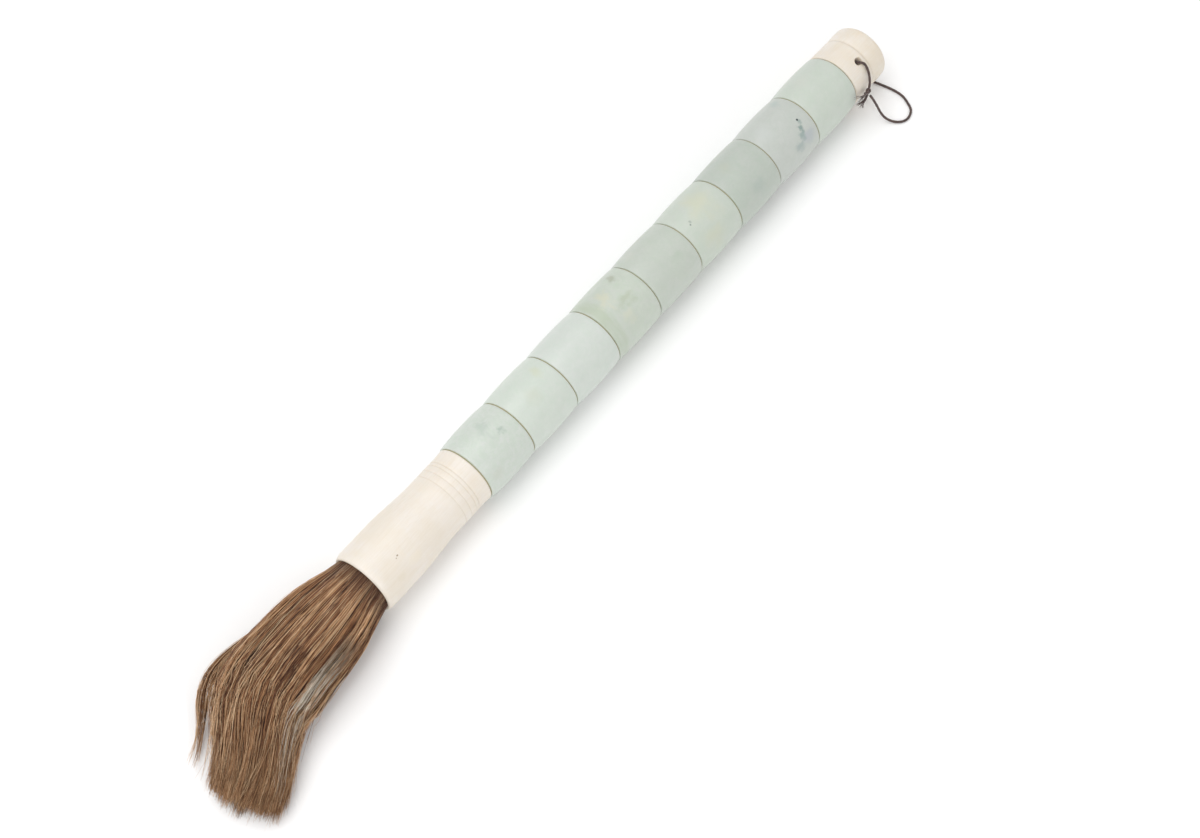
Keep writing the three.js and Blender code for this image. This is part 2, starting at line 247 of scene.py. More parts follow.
def put(tree, kind, **settings):
    """Adds a node. A setting named like a socket sets that socket, and any other one is a
    property of the node. A socket can be given another node's output."""
    node = tree.nodes.new(kind)
    for key, value in settings.items():
        if key.startswith("_"):
            setattr(node, key[1:], value)
    for key, value in settings.items():
        if key.startswith("_"):
            continue
        name = key.replace("_", " ")
        by_index = name[0] == "i" and name[1:].isdigit()
        feed(tree, node.inputs[int(name[1:]) if by_index else name], value)
    return node


def number(tree, operation, a, b=0.0, clamp=False):
    node = put(tree, "ShaderNodeMath", _operation=operation, _use_clamp=clamp, i0=a, i1=b)
    return node.outputs[0]


def times(tree, a, b):
    return number(tree, "MULTIPLY", a, b)


def mix(tree, share, a, b):
    """Colour a, and colour b where share is 1."""
    node = tree.nodes.new("ShaderNodeMix")
    node.data_type = "RGBA"
    for index, value in ((0, share), (6, a), (7, b)):
        feed(tree, node.inputs[index], value)
    return node.outputs[2]


def cover(tree, mask, strength, colour, tint):
    """Lays tint over colour where mask is, as strongly as asked."""
    return mix(tree, times(tree, mask, strength), colour, tint)


def ramp(tree, value, stops):
    """A colour ramp of (place, colour) stops."""
    node = put(tree, "ShaderNodeValToRGB", Fac=value)
    elements = node.color_ramp.elements
    while len(elements) < len(stops):
        elements.new(0.5)
    for element, (place, colour) in zip(elements, stops):
        element.position = place
        element.color = colour
    return node.outputs["Color"]


def rise(tree, value, low, high):
    """0 below low, 1 above high and a smooth step between."""
    node = put(tree, "ShaderNodeMapRange", _interpolation_type="SMOOTHSTEP", _clamp=True,
               Value=value, From_Min=low, From_Max=high)
    return node.outputs["Result"]


def new_group(name, inputs, outputs):
    """An empty shader node group. inputs are (name, socket type, value)."""
    tree = bpy.data.node_groups.new(name, "ShaderNodeTree")
    for label, kind, value in inputs:
        socket = tree.interface.new_socket(label, in_out="INPUT", socket_type=kind)
        if value is not None:
            socket.default_value = value
    for label, kind in outputs:
        tree.interface.new_socket(label, in_out="OUTPUT", socket_type=kind)
    return tree, tree.nodes.new("NodeGroupInput").outputs, tree.nodes.new("NodeGroupOutput").inputs


def use(tree, group, **values):
    """Places a node group and returns its mask."""
    node = tree.nodes.new("ShaderNodeGroup")
    node.node_tree = group
    for key, value in values.items():
        feed(tree, node.inputs[key.replace("_", " ")], value)
    return node.outputs["Mask"]


FLOAT, VECTOR = "NodeSocketFloat", "NodeSocketVector"


def stretch(tree, vector, x, y, z):
    """Coordinates multiplied by x, y and z."""
    sizes = put(tree, "ShaderNodeCombineXYZ", X=x, Y=y, Z=z)
    node = put(tree, "ShaderNodeVectorMath", _operation="MULTIPLY", i0=vector, i1=sizes.outputs[0])
    return node.outputs[0]


def clouds_group():
    """Soft drifting clouds, as in stone or old bone."""
    tree, given, out = new_group("clouds", [
        ("Vector", VECTOR, None), ("Size mm", FLOAT, 10.0), ("Drift", FLOAT, 1.0),
        ("Seed", FLOAT, 0.0), ("Detail", FLOAT, 4.0)], [("Mask", FLOAT)])
    scale = number(tree, "DIVIDE", 1000.0, given["Size mm"])
    warp = put(tree, "ShaderNodeTexNoise", _noise_dimensions="4D", Vector=given["Vector"],
               W=given["Seed"], Scale=times(tree, scale, 0.6), Detail=2.0)
    away = put(tree, "ShaderNodeVectorMath", _operation="SCALE", i0=warp.outputs["Color"],
               Scale=times(tree, given["Drift"], 0.012))
    moved = put(tree, "ShaderNodeVectorMath", _operation="ADD", i0=given["Vector"],
                i1=away.outputs[0])
    cloud = put(tree, "ShaderNodeTexNoise", _noise_dimensions="4D", Vector=moved.outputs[0],
                W=given["Seed"], Scale=scale, Detail=given["Detail"], Roughness=0.55)
    tree.links.new(rise(tree, cloud.outputs["Fac"], 0.33, 0.68), out["Mask"])
    return tree


def streaks_group():
    """Fine lines that run along the handle: bone grain, wood grain, combed hair."""
    tree, given, out = new_group("streaks", [
        ("Vector", VECTOR, None), ("Across mm", FLOAT, 0.5), ("Along mm", FLOAT, 12.0),
        ("Seed", FLOAT, 0.0)], [("Mask", FLOAT)])
    across = number(tree, "DIVIDE", 1000.0, given["Across mm"])
    along = number(tree, "DIVIDE", 1000.0, given["Along mm"])
    stretched = stretch(tree, given["Vector"], along, across, across)
    grain = put(tree, "ShaderNodeTexNoise", _noise_dimensions="4D", Vector=stretched,
                W=given["Seed"], Scale=1.0, Detail=3.0, Roughness=0.6)
    tree.links.new(rise(tree, grain.outputs["Fac"], 0.35, 0.72), out["Mask"])
    return tree


def pores_group():
    """Small pits, drawn out along the handle, only some of which are open."""
    tree, given, out = new_group("pores", [
        ("Vector", VECTOR, None), ("Spacing mm", FLOAT, 1.6), ("Length", FLOAT, 3.0),
        ("Share", FLOAT, 0.2), ("Size", FLOAT, 0.16)], [("Mask", FLOAT)])
    across = number(tree, "DIVIDE", 1000.0, given["Spacing mm"])
    along = number(tree, "DIVIDE", across, given["Length"])
    stretched = stretch(tree, given["Vector"], along, across, across)
    cells = put(tree, "ShaderNodeTexVoronoi", Vector=stretched, Scale=1.0)
    near = number(tree, "SUBTRACT", 1.0, rise(tree, cells.outputs["Distance"], 0.0, given["Size"]))
    pick = put(tree, "ShaderNodeSeparateColor", Color=cells.outputs["Color"])
    chosen = number(tree, "LESS_THAN", pick.outputs[0], given["Share"])
    tree.links.new(times(tree, near, chosen), out["Mask"])
    return tree


def spot_group():
    """A soft mark round one point of a piece, drawn out along an axis if asked."""
    tree, given, out = new_group("spot", [
        ("Vector", VECTOR, None), ("Centre", VECTOR, None), ("Radii mm", VECTOR, (1, 1, 1)),
        ("Ragged", FLOAT, 0.3), ("Soft", FLOAT, 0.4)], [("Mask", FLOAT)])
    apart = put(tree, "ShaderNodeVectorMath", _operation="SUBTRACT",
                i0=given["Vector"], i1=given["Centre"])
    metres = put(tree, "ShaderNodeVectorMath", _operation="SCALE", i0=given["Radii mm"], Scale=MM)
    scaled = put(tree, "ShaderNodeVectorMath", _operation="DIVIDE",
                 i0=apart.outputs[0], i1=metres.outputs[0])
    rough = put(tree, "ShaderNodeTexNoise", Vector=scaled.outputs[0], Scale=1.4, Detail=3.0)
    reach = put(tree, "ShaderNodeVectorMath", _operation="LENGTH", i0=scaled.outputs[0])
    stray = times(tree, number(tree, "SUBTRACT", rough.outputs["Fac"], 0.5),
                   times(tree, given["Ragged"], 2.0))
    edge = number(tree, "ADD", reach.outputs["Value"], stray)
    inside = rise(tree, edge, number(tree, "SUBTRACT", 1.0, given["Soft"]), 1.0)
    tree.links.new(number(tree, "SUBTRACT", 1.0, inside), out["Mask"])
    return tree


def shade_ring_group():
    """A line round the handle at one place, such as painted shade in a turned groove."""
    tree, given, out = new_group("ring", [
        ("Vector", VECTOR, None), ("At", FLOAT, 0.0), ("Half width mm", FLOAT, 0.3)],
        [("Mask", FLOAT)])
    split = put(tree, "ShaderNodeSeparateXYZ", Vector=given["Vector"])
    apart = number(tree, "ABSOLUTE", number(tree, "SUBTRACT", split.outputs["X"], given["At"]))
    wide = times(tree, given["Half width mm"], MM)
    tree.links.new(number(tree, "SUBTRACT", 1.0, rise(tree, apart, 0.0, wide)), out["Mask"])
    return tree


CLOUDS, STREAKS, PORES = clouds_group(), streaks_group(), pores_group()
SPOT, SHADE_RING = spot_group(), shade_ring_group()


def new_material(name):
    """(material, its node tree, its Principled node, object coordinates)"""
    material = bpy.data.materials.new(name)
    material.use_nodes = True
    tree = material.node_tree
    shader = tree.nodes["Principled BSDF"]
    coordinates = tree.nodes.new("ShaderNodeTexCoord").outputs["Object"]
    return material, tree, shader, coordinates


def bump(tree, shader, height, distance_mm, strength=1.0):
    node = put(tree, "ShaderNodeBump", Height=height, Distance=distance_mm * MM, Strength=strength)
    tree.links.new(node.outputs["Normal"], shader.inputs["Normal"])


def surface(tree, shader, colour, mask, rough_at_0, rough_at_1):
    """Gives the shader its colour, and a roughness that follows mask between two values."""
    tree.links.new(colour, shader.inputs["Base Color"])
    rough = put(tree, "ShaderNodeMapRange", Value=mask, To_Min=rough_at_0, To_Max=rough_at_1)
    tree.links.new(rough.outputs["Result"], shader.inputs["Roughness"])


def settle(shader, **values):
    """Sets the shader's inputs by name."""
    for label, value in values.items():
        shader.inputs[label.replace("_", " ")].default_value = value


def on_handle(x_mm, degrees, radius_mm):
    """A point on the handle's surface: x in the frame, degrees from the top towards -y."""
    a = math.radians(degrees)
    return (x_mm * MM, AXIS_Y - radius_mm * MM * math.sin(a), AXIS_Z + radius_mm * MM * math.cos(a))


# ---- materials ----
def jade(name, tones, seed, cloud, mottle, marks):
    """Polished jade: a base tone with paler and deeper clouds, fine mottling and a few marks."""
    base, pale, deep = (paint(*tone) for tone in tones)
    material, tree, shader, where = new_material(name)
    big = use(tree, CLOUDS, Vector=where, Size_mm=13.0, Seed=seed, Drift=1.2)
    mid = use(tree, CLOUDS, Vector=where, Size_mm=5.0, Seed=seed + 3.1, Drift=0.7)
    fine = use(tree, CLOUDS, Vector=where, Size_mm=1.1, Seed=seed + 7.7, Drift=0.1)
    colour = mix(tree, times(tree, big, cloud), base, pale)
    colour = cover(tree, mid, cloud * 0.7, colour, deep)
    colour = cover(tree, fine, mottle * 1.8, colour, pale)
    grit = use(tree, CLOUDS, Vector=where, Size_mm=2.1, Seed=seed + 5.3, Drift=0.8)
    colour = cover(tree, grit, mottle * 1.6, colour, deep)
    for place, radii, tint, strength, ragged, soft in marks:
        mask = use(tree, SPOT, Vector=where, Centre=on_handle(*place), Radii_mm=radii,
                   Ragged=ragged, Soft=soft)
        colour = cover(tree, mask, strength, colour, paint(*tint))
    polish = use(tree, CLOUDS, Vector=where, Size_mm=3.0, Seed=seed + 11.0, Drift=0.2)
    surface(tree, shader, colour, polish, 0.34, 0.44)
    bump(tree, shader, polish, 0.004, 0.2)
    settle(shader, IOR=1.5, Subsurface_Weight=0.22, Subsurface_Radius=(0.8, 1.0, 0.85),
           Subsurface_Scale=0.003, Coat_Weight=0.08, Coat_Roughness=0.2)
    return material


def bone(name, rings=(), spots=(), warm=0.0):
    """Turned bone: cream, with fine grain and open pores along it, faint yellowing, and
    painted shade in its grooves and joints. rings are (x in metres, half width in mm, strength)."""
    material, tree, shader, where = new_material(name)
    grain = use(tree, STREAKS, Vector=where, Across_mm=0.45, Along_mm=9.0, Seed=2.0)
    broad = use(tree, STREAKS, Vector=where, Across_mm=3.2, Along_mm=26.0, Seed=5.0)
    aged = use(tree, CLOUDS, Vector=where, Size_mm=9.0, Seed=1.5, Drift=1.0)
    pores = use(tree, PORES, Vector=where, Spacing_mm=0.9, Length=3.4, Share=0.13,
                Size=0.12)
    colour = mix(tree, times(tree, broad, 0.5), paint(233, 226, 217),
                 paint(230, 221, 208))
    colour = cover(tree, grain, 0.28, colour, paint(218, 205, 186))
    colour = cover(tree, aged, 0.3 + warm, colour, paint(223, 210, 187))
    colour = cover(tree, pores, 0.35, colour, paint(196, 176, 145))
    # painted shade: a patchy darker line in each groove and at each joint given in rings
    groove_shade_patches = use(tree, CLOUDS, Vector=where, Size_mm=4.0, Seed=9.0, Drift=0.4)
    for at, half, strength in rings:
        line = use(tree, SHADE_RING, Vector=where, At=at, Half_width_mm=half)
        patchy = times(tree, line, number(tree, "ADD", times(tree, groove_shade_patches, 0.5), 0.5))
        colour = mix(tree, times(tree, patchy, strength), colour,
                     paint(186, 166, 130))
    for centre, radii, tint, strength in spots:
        mask = use(tree, SPOT, Vector=where, Centre=centre, Radii_mm=radii,
                   Ragged=0.5, Soft=0.6)
        colour = cover(tree, mask, strength, colour, tint)
    surface(tree, shader, colour, grain, 0.38, 0.52)
    height = number(tree, "SUBTRACT", times(tree, grain, 0.3), pores)
    bump(tree, shader, height, 0.04, 0.6)
    settle(shader, IOR=1.54, Subsurface_Weight=0.15, Subsurface_Radius=(1.0, 0.8, 0.6),
           Subsurface_Scale=0.002)
    return material


def seam_cement():
    """Yellowed cement, olive where it is thick and amber where it thins out."""
    material, tree, shader, where = new_material("seam_cement")
    patch = use(tree, CLOUDS, Vector=where, Size_mm=5.0, Seed=4.0)
    speck = use(tree, CLOUDS, Vector=where, Size_mm=0.7, Seed=6.0)
    colour = mix(tree, patch, paint(160, 162, 130), paint(180, 168, 132))
    colour = cover(tree, speck, 0.4, colour, paint(136, 128, 98))
    surface(tree, shader, colour, speck, 0.5, 0.8)
    bump(tree, shader, speck, 0.05)
    return material


def hair_material(name, tones, root_shade=0.8):
    """Brush hair. The strands carry tone, a per-strand shade from 0 to 1, and along, the
    share of the way from root to tip. tones are colour stops over tone."""
    material, tree, shader, where = new_material(name)
    tone = put(tree, "ShaderNodeAttribute", _attribute_name="tone").outputs["Fac"]
    along = put(tree, "ShaderNodeAttribute", _attribute_name="along").outputs["Fac"]
    flicker = put(tree, "ShaderNodeTexNoise", Vector=where, Scale=260.0, Detail=2.0)
    shade = number(tree, "ADD", tone, times(tree, number(
        tree, "SUBTRACT", flicker.outputs["Fac"], 0.5), 0.35))
    colour = ramp(tree, shade, tones)
    root = number(tree, "SUBTRACT", 1.0, rise(tree, along, 0.09, 0.24))
    colour = cover(tree, root, root_shade, colour, paint(68, 41, 29))
    tip = rise(tree, along, 0.72, 1.0)
    colour = cover(tree, tip, 0.36, colour, paint(188, 150, 112))
    surface(tree, shader, colour, tone, 0.5, 0.38)
    settle(shader, IOR=1.5, Specular_IOR_Level=0.35)
    return material


BROWN_TONES = [(0.0, paint(60, 35, 24)), (0.22, paint(106, 68, 44)), (0.45, paint(146, 100, 67)),
               (0.68, paint(178, 128, 89)), (0.88, paint(210, 164, 120)), (1.0, paint(234, 200, 160))]
GREY_TONES = [(0.0, paint(120, 96, 76)), (0.4, paint(168, 146, 122)), (0.7, paint(206, 190, 168)),
              (1.0, paint(238, 230, 216))]


def cord_material():
    """Waxed dark brown cord, worn paler on its high plies."""
    material, tree, shader, where = new_material("waxed_cord")
    fibre = use(tree, CLOUDS, Vector=where, Size_mm=0.35, Seed=3.0, Drift=0.05)
    wear = use(tree, CLOUDS, Vector=where, Size_mm=3.0, Seed=8.0, Drift=0.3)
    colour = mix(tree, fibre, paint(46, 30, 27), paint(78, 56, 50))
    colour = cover(tree, wear, 0.45, colour, paint(98, 76, 70))
    surface(tree, shader, colour, wear, 0.42, 0.62)
    bump(tree, shader, fibre, 0.06)
    settle(shader, Sheen_Weight=0.3)
    return material


def plain_wood():
    material, tree, shader, where = new_material("rod_wood")
    grain = use(tree, STREAKS, Vector=where, Across_mm=0.4, Along_mm=14.0, Seed=1.0)
    colour = mix(tree, grain, paint(196, 164, 116), paint(150, 114, 72))
    surface(tree, shader, colour, grain, 0.55, 0.75)
    bump(tree, shader, grain, 0.05)
    return material


def rosin():
    material, tree, shader, where = new_material("rosin")
    patch = use(tree, CLOUDS, Vector=where, Size_mm=3.0, Seed=2.0)
    tree.links.new(mix(tree, patch, paint(70, 42, 20), paint(122, 78, 36)),
                   shader.inputs["Base Color"])
    rough = put(tree, "ShaderNodeMapRange", Value=patch, To_Min=0.2, To_Max=0.45)
    tree.links.new(rough.outputs["Result"], shader.inputs["Roughness"])
    return material


def binding_thread():
    """Thread wound side by side round the hair's butts."""
    material, tree, shader, where = new_material("binding_thread")
    split = put(tree, "ShaderNodeSeparateXYZ", Vector=where)
    turns = number(tree, "SINE", times(tree, split.outputs["X"], 2 * math.pi / 0.0003))
    high = rise(tree, turns, -1.0, 1.0)
    fluff = use(tree, CLOUDS, Vector=where, Size_mm=0.4, Seed=5.0)
    # painted shade: darker in the valleys between the turns of thread and paler on their crests
    colour = mix(tree, high, paint(150, 136, 108), paint(214, 202, 176))
    colour = cover(tree, fluff, 0.3, colour, paint(176, 160, 130))
    tree.links.new(colour, shader.inputs["Base Color"])
    settle(shader, Roughness=0.85)
    bump(tree, shader, high, 0.08)
    return material


# ---- sleeve ----
WAIST = GRIP - 1.15 * MM
MOUTH_RADIUS = GRIP - 1.6 * MM
SLEEVE_GROOVES = [5.9, 7.4, 10.0, 13.0]      # back from the bead end, in mm
CUP_DEPTH = 17.9 * MM        # how far the hair's root reaches into the sleeve
MARROW_RADIUS = 8.4 * MM
CAP_GROOVE = CAP_START + 11.2 * MM
CROSS_HOLE_X = CAP_START + 7.8 * MM
CROSS_HOLE_TILT = math.radians(30)           # from vertical towards -y


def sleeve_outside(x):
    """Radius of the sleeve at x, without its lip and grooves."""
    t = (x - MOUTH_X) / (SLEEVE_END - MOUTH_X)
    t = min(1.0, max(0.0, (t - 0.30) / 0.38))
    swell = GRIP + (WAIST - GRIP) * t * t * (3 - 2 * t)
    flare = max(0.0, (x - SLEEVE_END) / MM + 4.0) / 4.0
    return swell + 0.22 * MM * flare * flare


def bone_sleeve():
    lip = 3.2 * MM
    wall = 1.05 * MM
    profile = [(MOUTH_X + 0.45 * MM, MOUTH_RADIUS), (MOUTH_X + 0.12 * MM, MOUTH_RADIUS + 0.12 * MM)]
    for i in range(15):
        t = math.radians(90 * i / 14)
        profile.append((MOUTH_X + lip * (1 - math.cos(t)), GRIP - wall + wall * math.sin(t)))
    grooves = sorted(SLEEVE_END - g * MM for g in SLEEVE_GROOVES)
    x = MOUTH_X + lip + 1.2 * MM
    while x < grooves[0] - 1.0 * MM:
        profile.append((x, sleeve_outside(x)))
        x += 1.2 * MM
    for at, deep in zip(grooves, (0.07, 0.11, 0.09, 0.13)):
        for step, share in ((-0.45, 0.0), (-0.28, 0.25), (-0.12, 0.85), (0, 1.0), (0.12, 0.85),
                            (0.28, 0.25), (0.45, 0.0)):
            profile.append((at + step * MM, sleeve_outside(at + step * MM) - deep * share * MM))
    for back in (4.6, 3.2, 2.0, 1.0, 0.45):
        profile.append((SLEEVE_END - back * MM, sleeve_outside(SLEEVE_END - back * MM)))
    end = sleeve_outside(SLEEVE_END)
    profile += arc(SLEEVE_END - 0.3 * MM, end - 0.3 * MM, 0.3 * MM, 80, 0, 5)
    profile += [(SLEEVE_END, MARROW_RADIUS), (MOUTH_X + CUP_DEPTH, MARROW_RADIUS),
                (MOUTH_X + CUP_DEPTH, MOUTH_RADIUS)]
    piece = turn("bone_sleeve_turned", profile, sides=144, wobble=0.05 * MM, seed=3.0)
    # painted shade: darker lines in the grooves, at the bead end and at the mouth
    rings = [(at, 0.34, 0.3) for at in grooves]
    rings += [(SLEEVE_END, 0.6, 0.35), (MOUTH_X, 0.7, 0.25)]
    spots = [(on_handle(-88.0, 29, 12.6), (0.5, 0.35, 0.5), paint(132, 104, 66), 0.8),
             (on_handle(-88.9, 31, 12.6), (0.35, 0.3, 0.4), paint(150, 122, 84), 0.6),
             (on_handle(-91.5, 60, 12.6), (2.4, 1.8, 1.8), paint(224, 214, 196), 0.6),
             (on_handle(-84.0, 52, 12.6), (4.0, 2.0, 3.0), paint(232, 222, 204), 0.5)]
    piece.data.materials.append(bone("bone_sleeve", rings, spots))
    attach(piece, "handle")
    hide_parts("bone_sleeve")


# ---- beads and seams ----
# Hand-cut beads: how barrel-shaped each one is, in mm, from the sleeve to the cap.
BEAD_BELLY = [0.62, 0.50, 0.42, 0.38, 0.46, 0.52, 0.40, 0.55, 0.50]


def bead_mesh(number_, belly):
    lo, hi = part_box(f"jade_bead_{number_}")
    edge = 0.48 * MM
    radius = (hi[2] - lo[2]) / 2
    x0, x1 = lo[0], hi[0]

    def outside(x):
        s = 2 * (x - x0) / (x1 - x0) - 1
        return radius - belly * MM * (0.75 * s * s + 0.25 * s ** 4)

    end = outside(x0 + edge)
    profile = [(x0, BORE)]
    profile += arc(x0 + edge, end - edge, edge, 180, 92, 7)
    steps = 22
    for i in range(1, steps):
        x = x0 + edge + (x1 - x0 - 2 * edge) * i / steps
        profile.append((x, outside(x)))
    profile += arc(x1 - edge, end - edge, edge, 88, 0, 7)
    profile.append((x1, BORE))
    return turn(f"bead_{number_}", profile, sides=128, wobble=0.07 * MM, seed=number_ * 4.7)


GREY_MARK = (150, 170, 156)
TEAL = (119, 143, 138)
# One stone for each bead, from the sleeve to the cap: its base, paler and deeper colour, its
# seed, cloud, mottle and slot, and its marks. A mark is a place on the handle (see on_handle),
# radii in mm, a colour, a strength, and how ragged and how soft its edge is.
STONES = [
    (((206, 213, 203), (205, 209, 204), (195, 205, 193)), 1.3, 0.8, 0.45, "jade_sage", [
        ((-34.5, -8, 12.5), (4, 5, 2), GREY_MARK, 0.28, 1.2, 1),
        ((-31.1, 13, 12.6), (2.2, 2, 2), GREY_MARK, 0.5, 1.2, 1),
        ((-42, 62, 12.2), (4, 3, 4), (195, 199, 186), 0.4, 0.6, 0.9)]),
    (((206, 214, 204), (206, 210, 204), (195, 206, 194)), 9.4, 0.5, 0.2, "jade_pale", [
        ((-6, -12, 12.6), (2.6, 4.5, 2), (203, 207, 183), 0.6, 0.5, 0.9),
        ((-14, 14, 12.6), (5, 5, 3), (198, 203, 188), 0.5, 0.6, 0.9)]),
    (((207, 214, 206), (207, 210, 206), (196, 206, 196)), 17.2, 0.55, 0.22, "jade_pale", []),
    (((198, 206, 193), (197, 201, 194), (187, 198, 183)), 26.5, 0.85, 0.3, "jade_cream", [
        ((25.2, 10, 12.4), (4.6, 19, 19), (180, 190, 170), 0.8, 1, 0.9),
        ((31.5, -8, 12.6), (4, 5, 3), (203, 204, 184), 0.8, 1.3, 1),
        ((36.5, 16, 12.6), (5.5, 3.4, 3), (176, 185, 163), 0.6, 1.3, 1),
        ((33, 38, 12.6), (4, 4.2, 4), (204, 206, 188), 0.6, 1.2, 1),
        ((40.5, -30, 12.4), (2.2, 3, 3), (164, 168, 148), 0.6, 0.7, 0.8)]),
    (((194, 201, 190), (193, 197, 191), (183, 193, 180)), 33, 0.6, 0.22, "jade_pale", [
        ((52, -38, 12.5), (4, 4, 4), (197, 201, 191), 0.6, 0.6, 0.9),
        ((62, 30, 12.6), (4.5, 3, 3), (179, 190, 176), 0.5, 0.6, 0.9)]),
    (((198, 206, 194), (197, 202, 195), (187, 198, 184)), 41.8, 0.5, 0.2, "jade_cream", [
        ((84, -2, 12.6), (9, 9, 7), (201, 204, 184), 0.85, 0.9, 1),
        ((80, 55, 12.5), (8, 6, 7), (199, 203, 184), 0.7, 0.9, 1),
        ((75.4, 11, 12.6), (0.55, 0.5, 0.5), (84, 100, 96), 0.9, 0.3, 0.7),
        ((76.2, 7, 12.6), (0.9, 0.9, 0.6), (134, 145, 138), 0.6, 0.5, 0.8)]),
    (((187, 195, 185), (187, 191, 185), (176, 187, 175)), 52.1, 0.6, 0.25, "jade_sage", [
        ((103, -14, 12.5), (4, 4, 3), (188, 192, 177), 0.4, 0.5, 0.9),
        ((107, 52, 12.5), (5, 5, 5), (170, 182, 174), 0.5, 0.5, 0.9)]),
    (((195, 199, 193), (194, 198, 193), (184, 191, 183)), 60.3, 0.6, 0.25, "jade_grey", [
        ((124, -5, 12.5), (5, 6, 3), (197, 201, 197), 0.7, 0.4, 0.9),
        ((137, 56, 12.4), (5, 3.2, 4.5), (176, 182, 186), 0.7, 0.5, 0.8),
        ((137.2, 26, 12.6), (1.3, 1.5, 1.2), TEAL, 0.55, 0.9, 0.8),
        ((135.8, 36, 12.6), (1.5, 2.6, 2.2), TEAL, 0.75, 1, 0.8),
        ((134.6, 47, 12.5), (2, 2.4, 2.8), (139, 159, 155), 0.7, 0.9, 0.8),
        ((131.6, 60, 12.4), (3.4, 2, 3), (156, 170, 167), 0.7, 0.8, 0.8),
        ((138.6, -34, 12.4), (3, 4.4, 3.6), (172, 185, 180), 0.6, 0.6, 0.9),
        ((137.1, 21, 12.6), (0.62, 0.6, 0.6), (30, 44, 50), 1, 0.15, 0.5)]),
    (((199, 207, 196), (199, 203, 197), (188, 199, 186)), 71.9, 0.45, 0.18, "jade_grey", [
        ((152, -22, 12.5), (5, 5, 4), (202, 206, 197), 0.5, 0.5, 0.9)])]


def beads():
    for i, (tones, seed, cloud, mottle, slot, marks) in enumerate(STONES):
        piece = bead_mesh(i + 1, BEAD_BELLY[i])
        piece.data.materials.append(jade(f"jade_{i + 1}", tones, seed, cloud, mottle, marks))
        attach(piece, "handle")
        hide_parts(f"jade_bead_{i + 1}")


def seams():
    """Rings of cement a little below the beads' rounded edges."""
    cement = seam_cement()
    for i in range(1, BEADS + 2):
        lo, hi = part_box(f"cement_seam_{i}")
        outer = GRIP - (0.86 if 1 < i < BEADS + 1 else 1.1) * MM
        middle = (lo[0] + hi[0]) / 2
        profile = [(lo[0], BORE), (lo[0], outer), (middle, outer - 0.06 * MM),
                   (hi[0], outer), (hi[0], BORE)]
        piece = turn(f"seam_{i}", profile, sides=96, wobble=0.12 * MM, seed=i * 2.3)
        piece.data.materials.append(cement)
        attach(piece, "handle")
        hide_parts(f"cement_seam_{i}")


# ---- end cap ----
def drill():
    """The cross hole's cutter, with a small flare where it comes out at each side."""
    axis = Vector((0, -math.sin(CROSS_HOLE_TILT), math.cos(CROSS_HOLE_TILT)))
    side = Vector((1, 0, 0))
    other = axis.cross(side)
    centre = Vector((CROSS_HOLE_X, AXIS_Y, AXIS_Z))
    rings = [(-14.0, 2.6), (-11.3, 1.45), (-10.6, 1.2), (10.6, 1.2), (11.3, 1.45), (14.0, 2.6)]
    sides = 32
    verts = []
    for along, r in rings:
        for i in range(sides):
            a = 2 * math.pi * i / sides
            verts.append(centre + axis * along * MM
                         + side * (r * MM * math.cos(a)) + other * (r * MM * math.sin(a)))
    return mesh_object("drill", verts, skin(len(rings), sides))


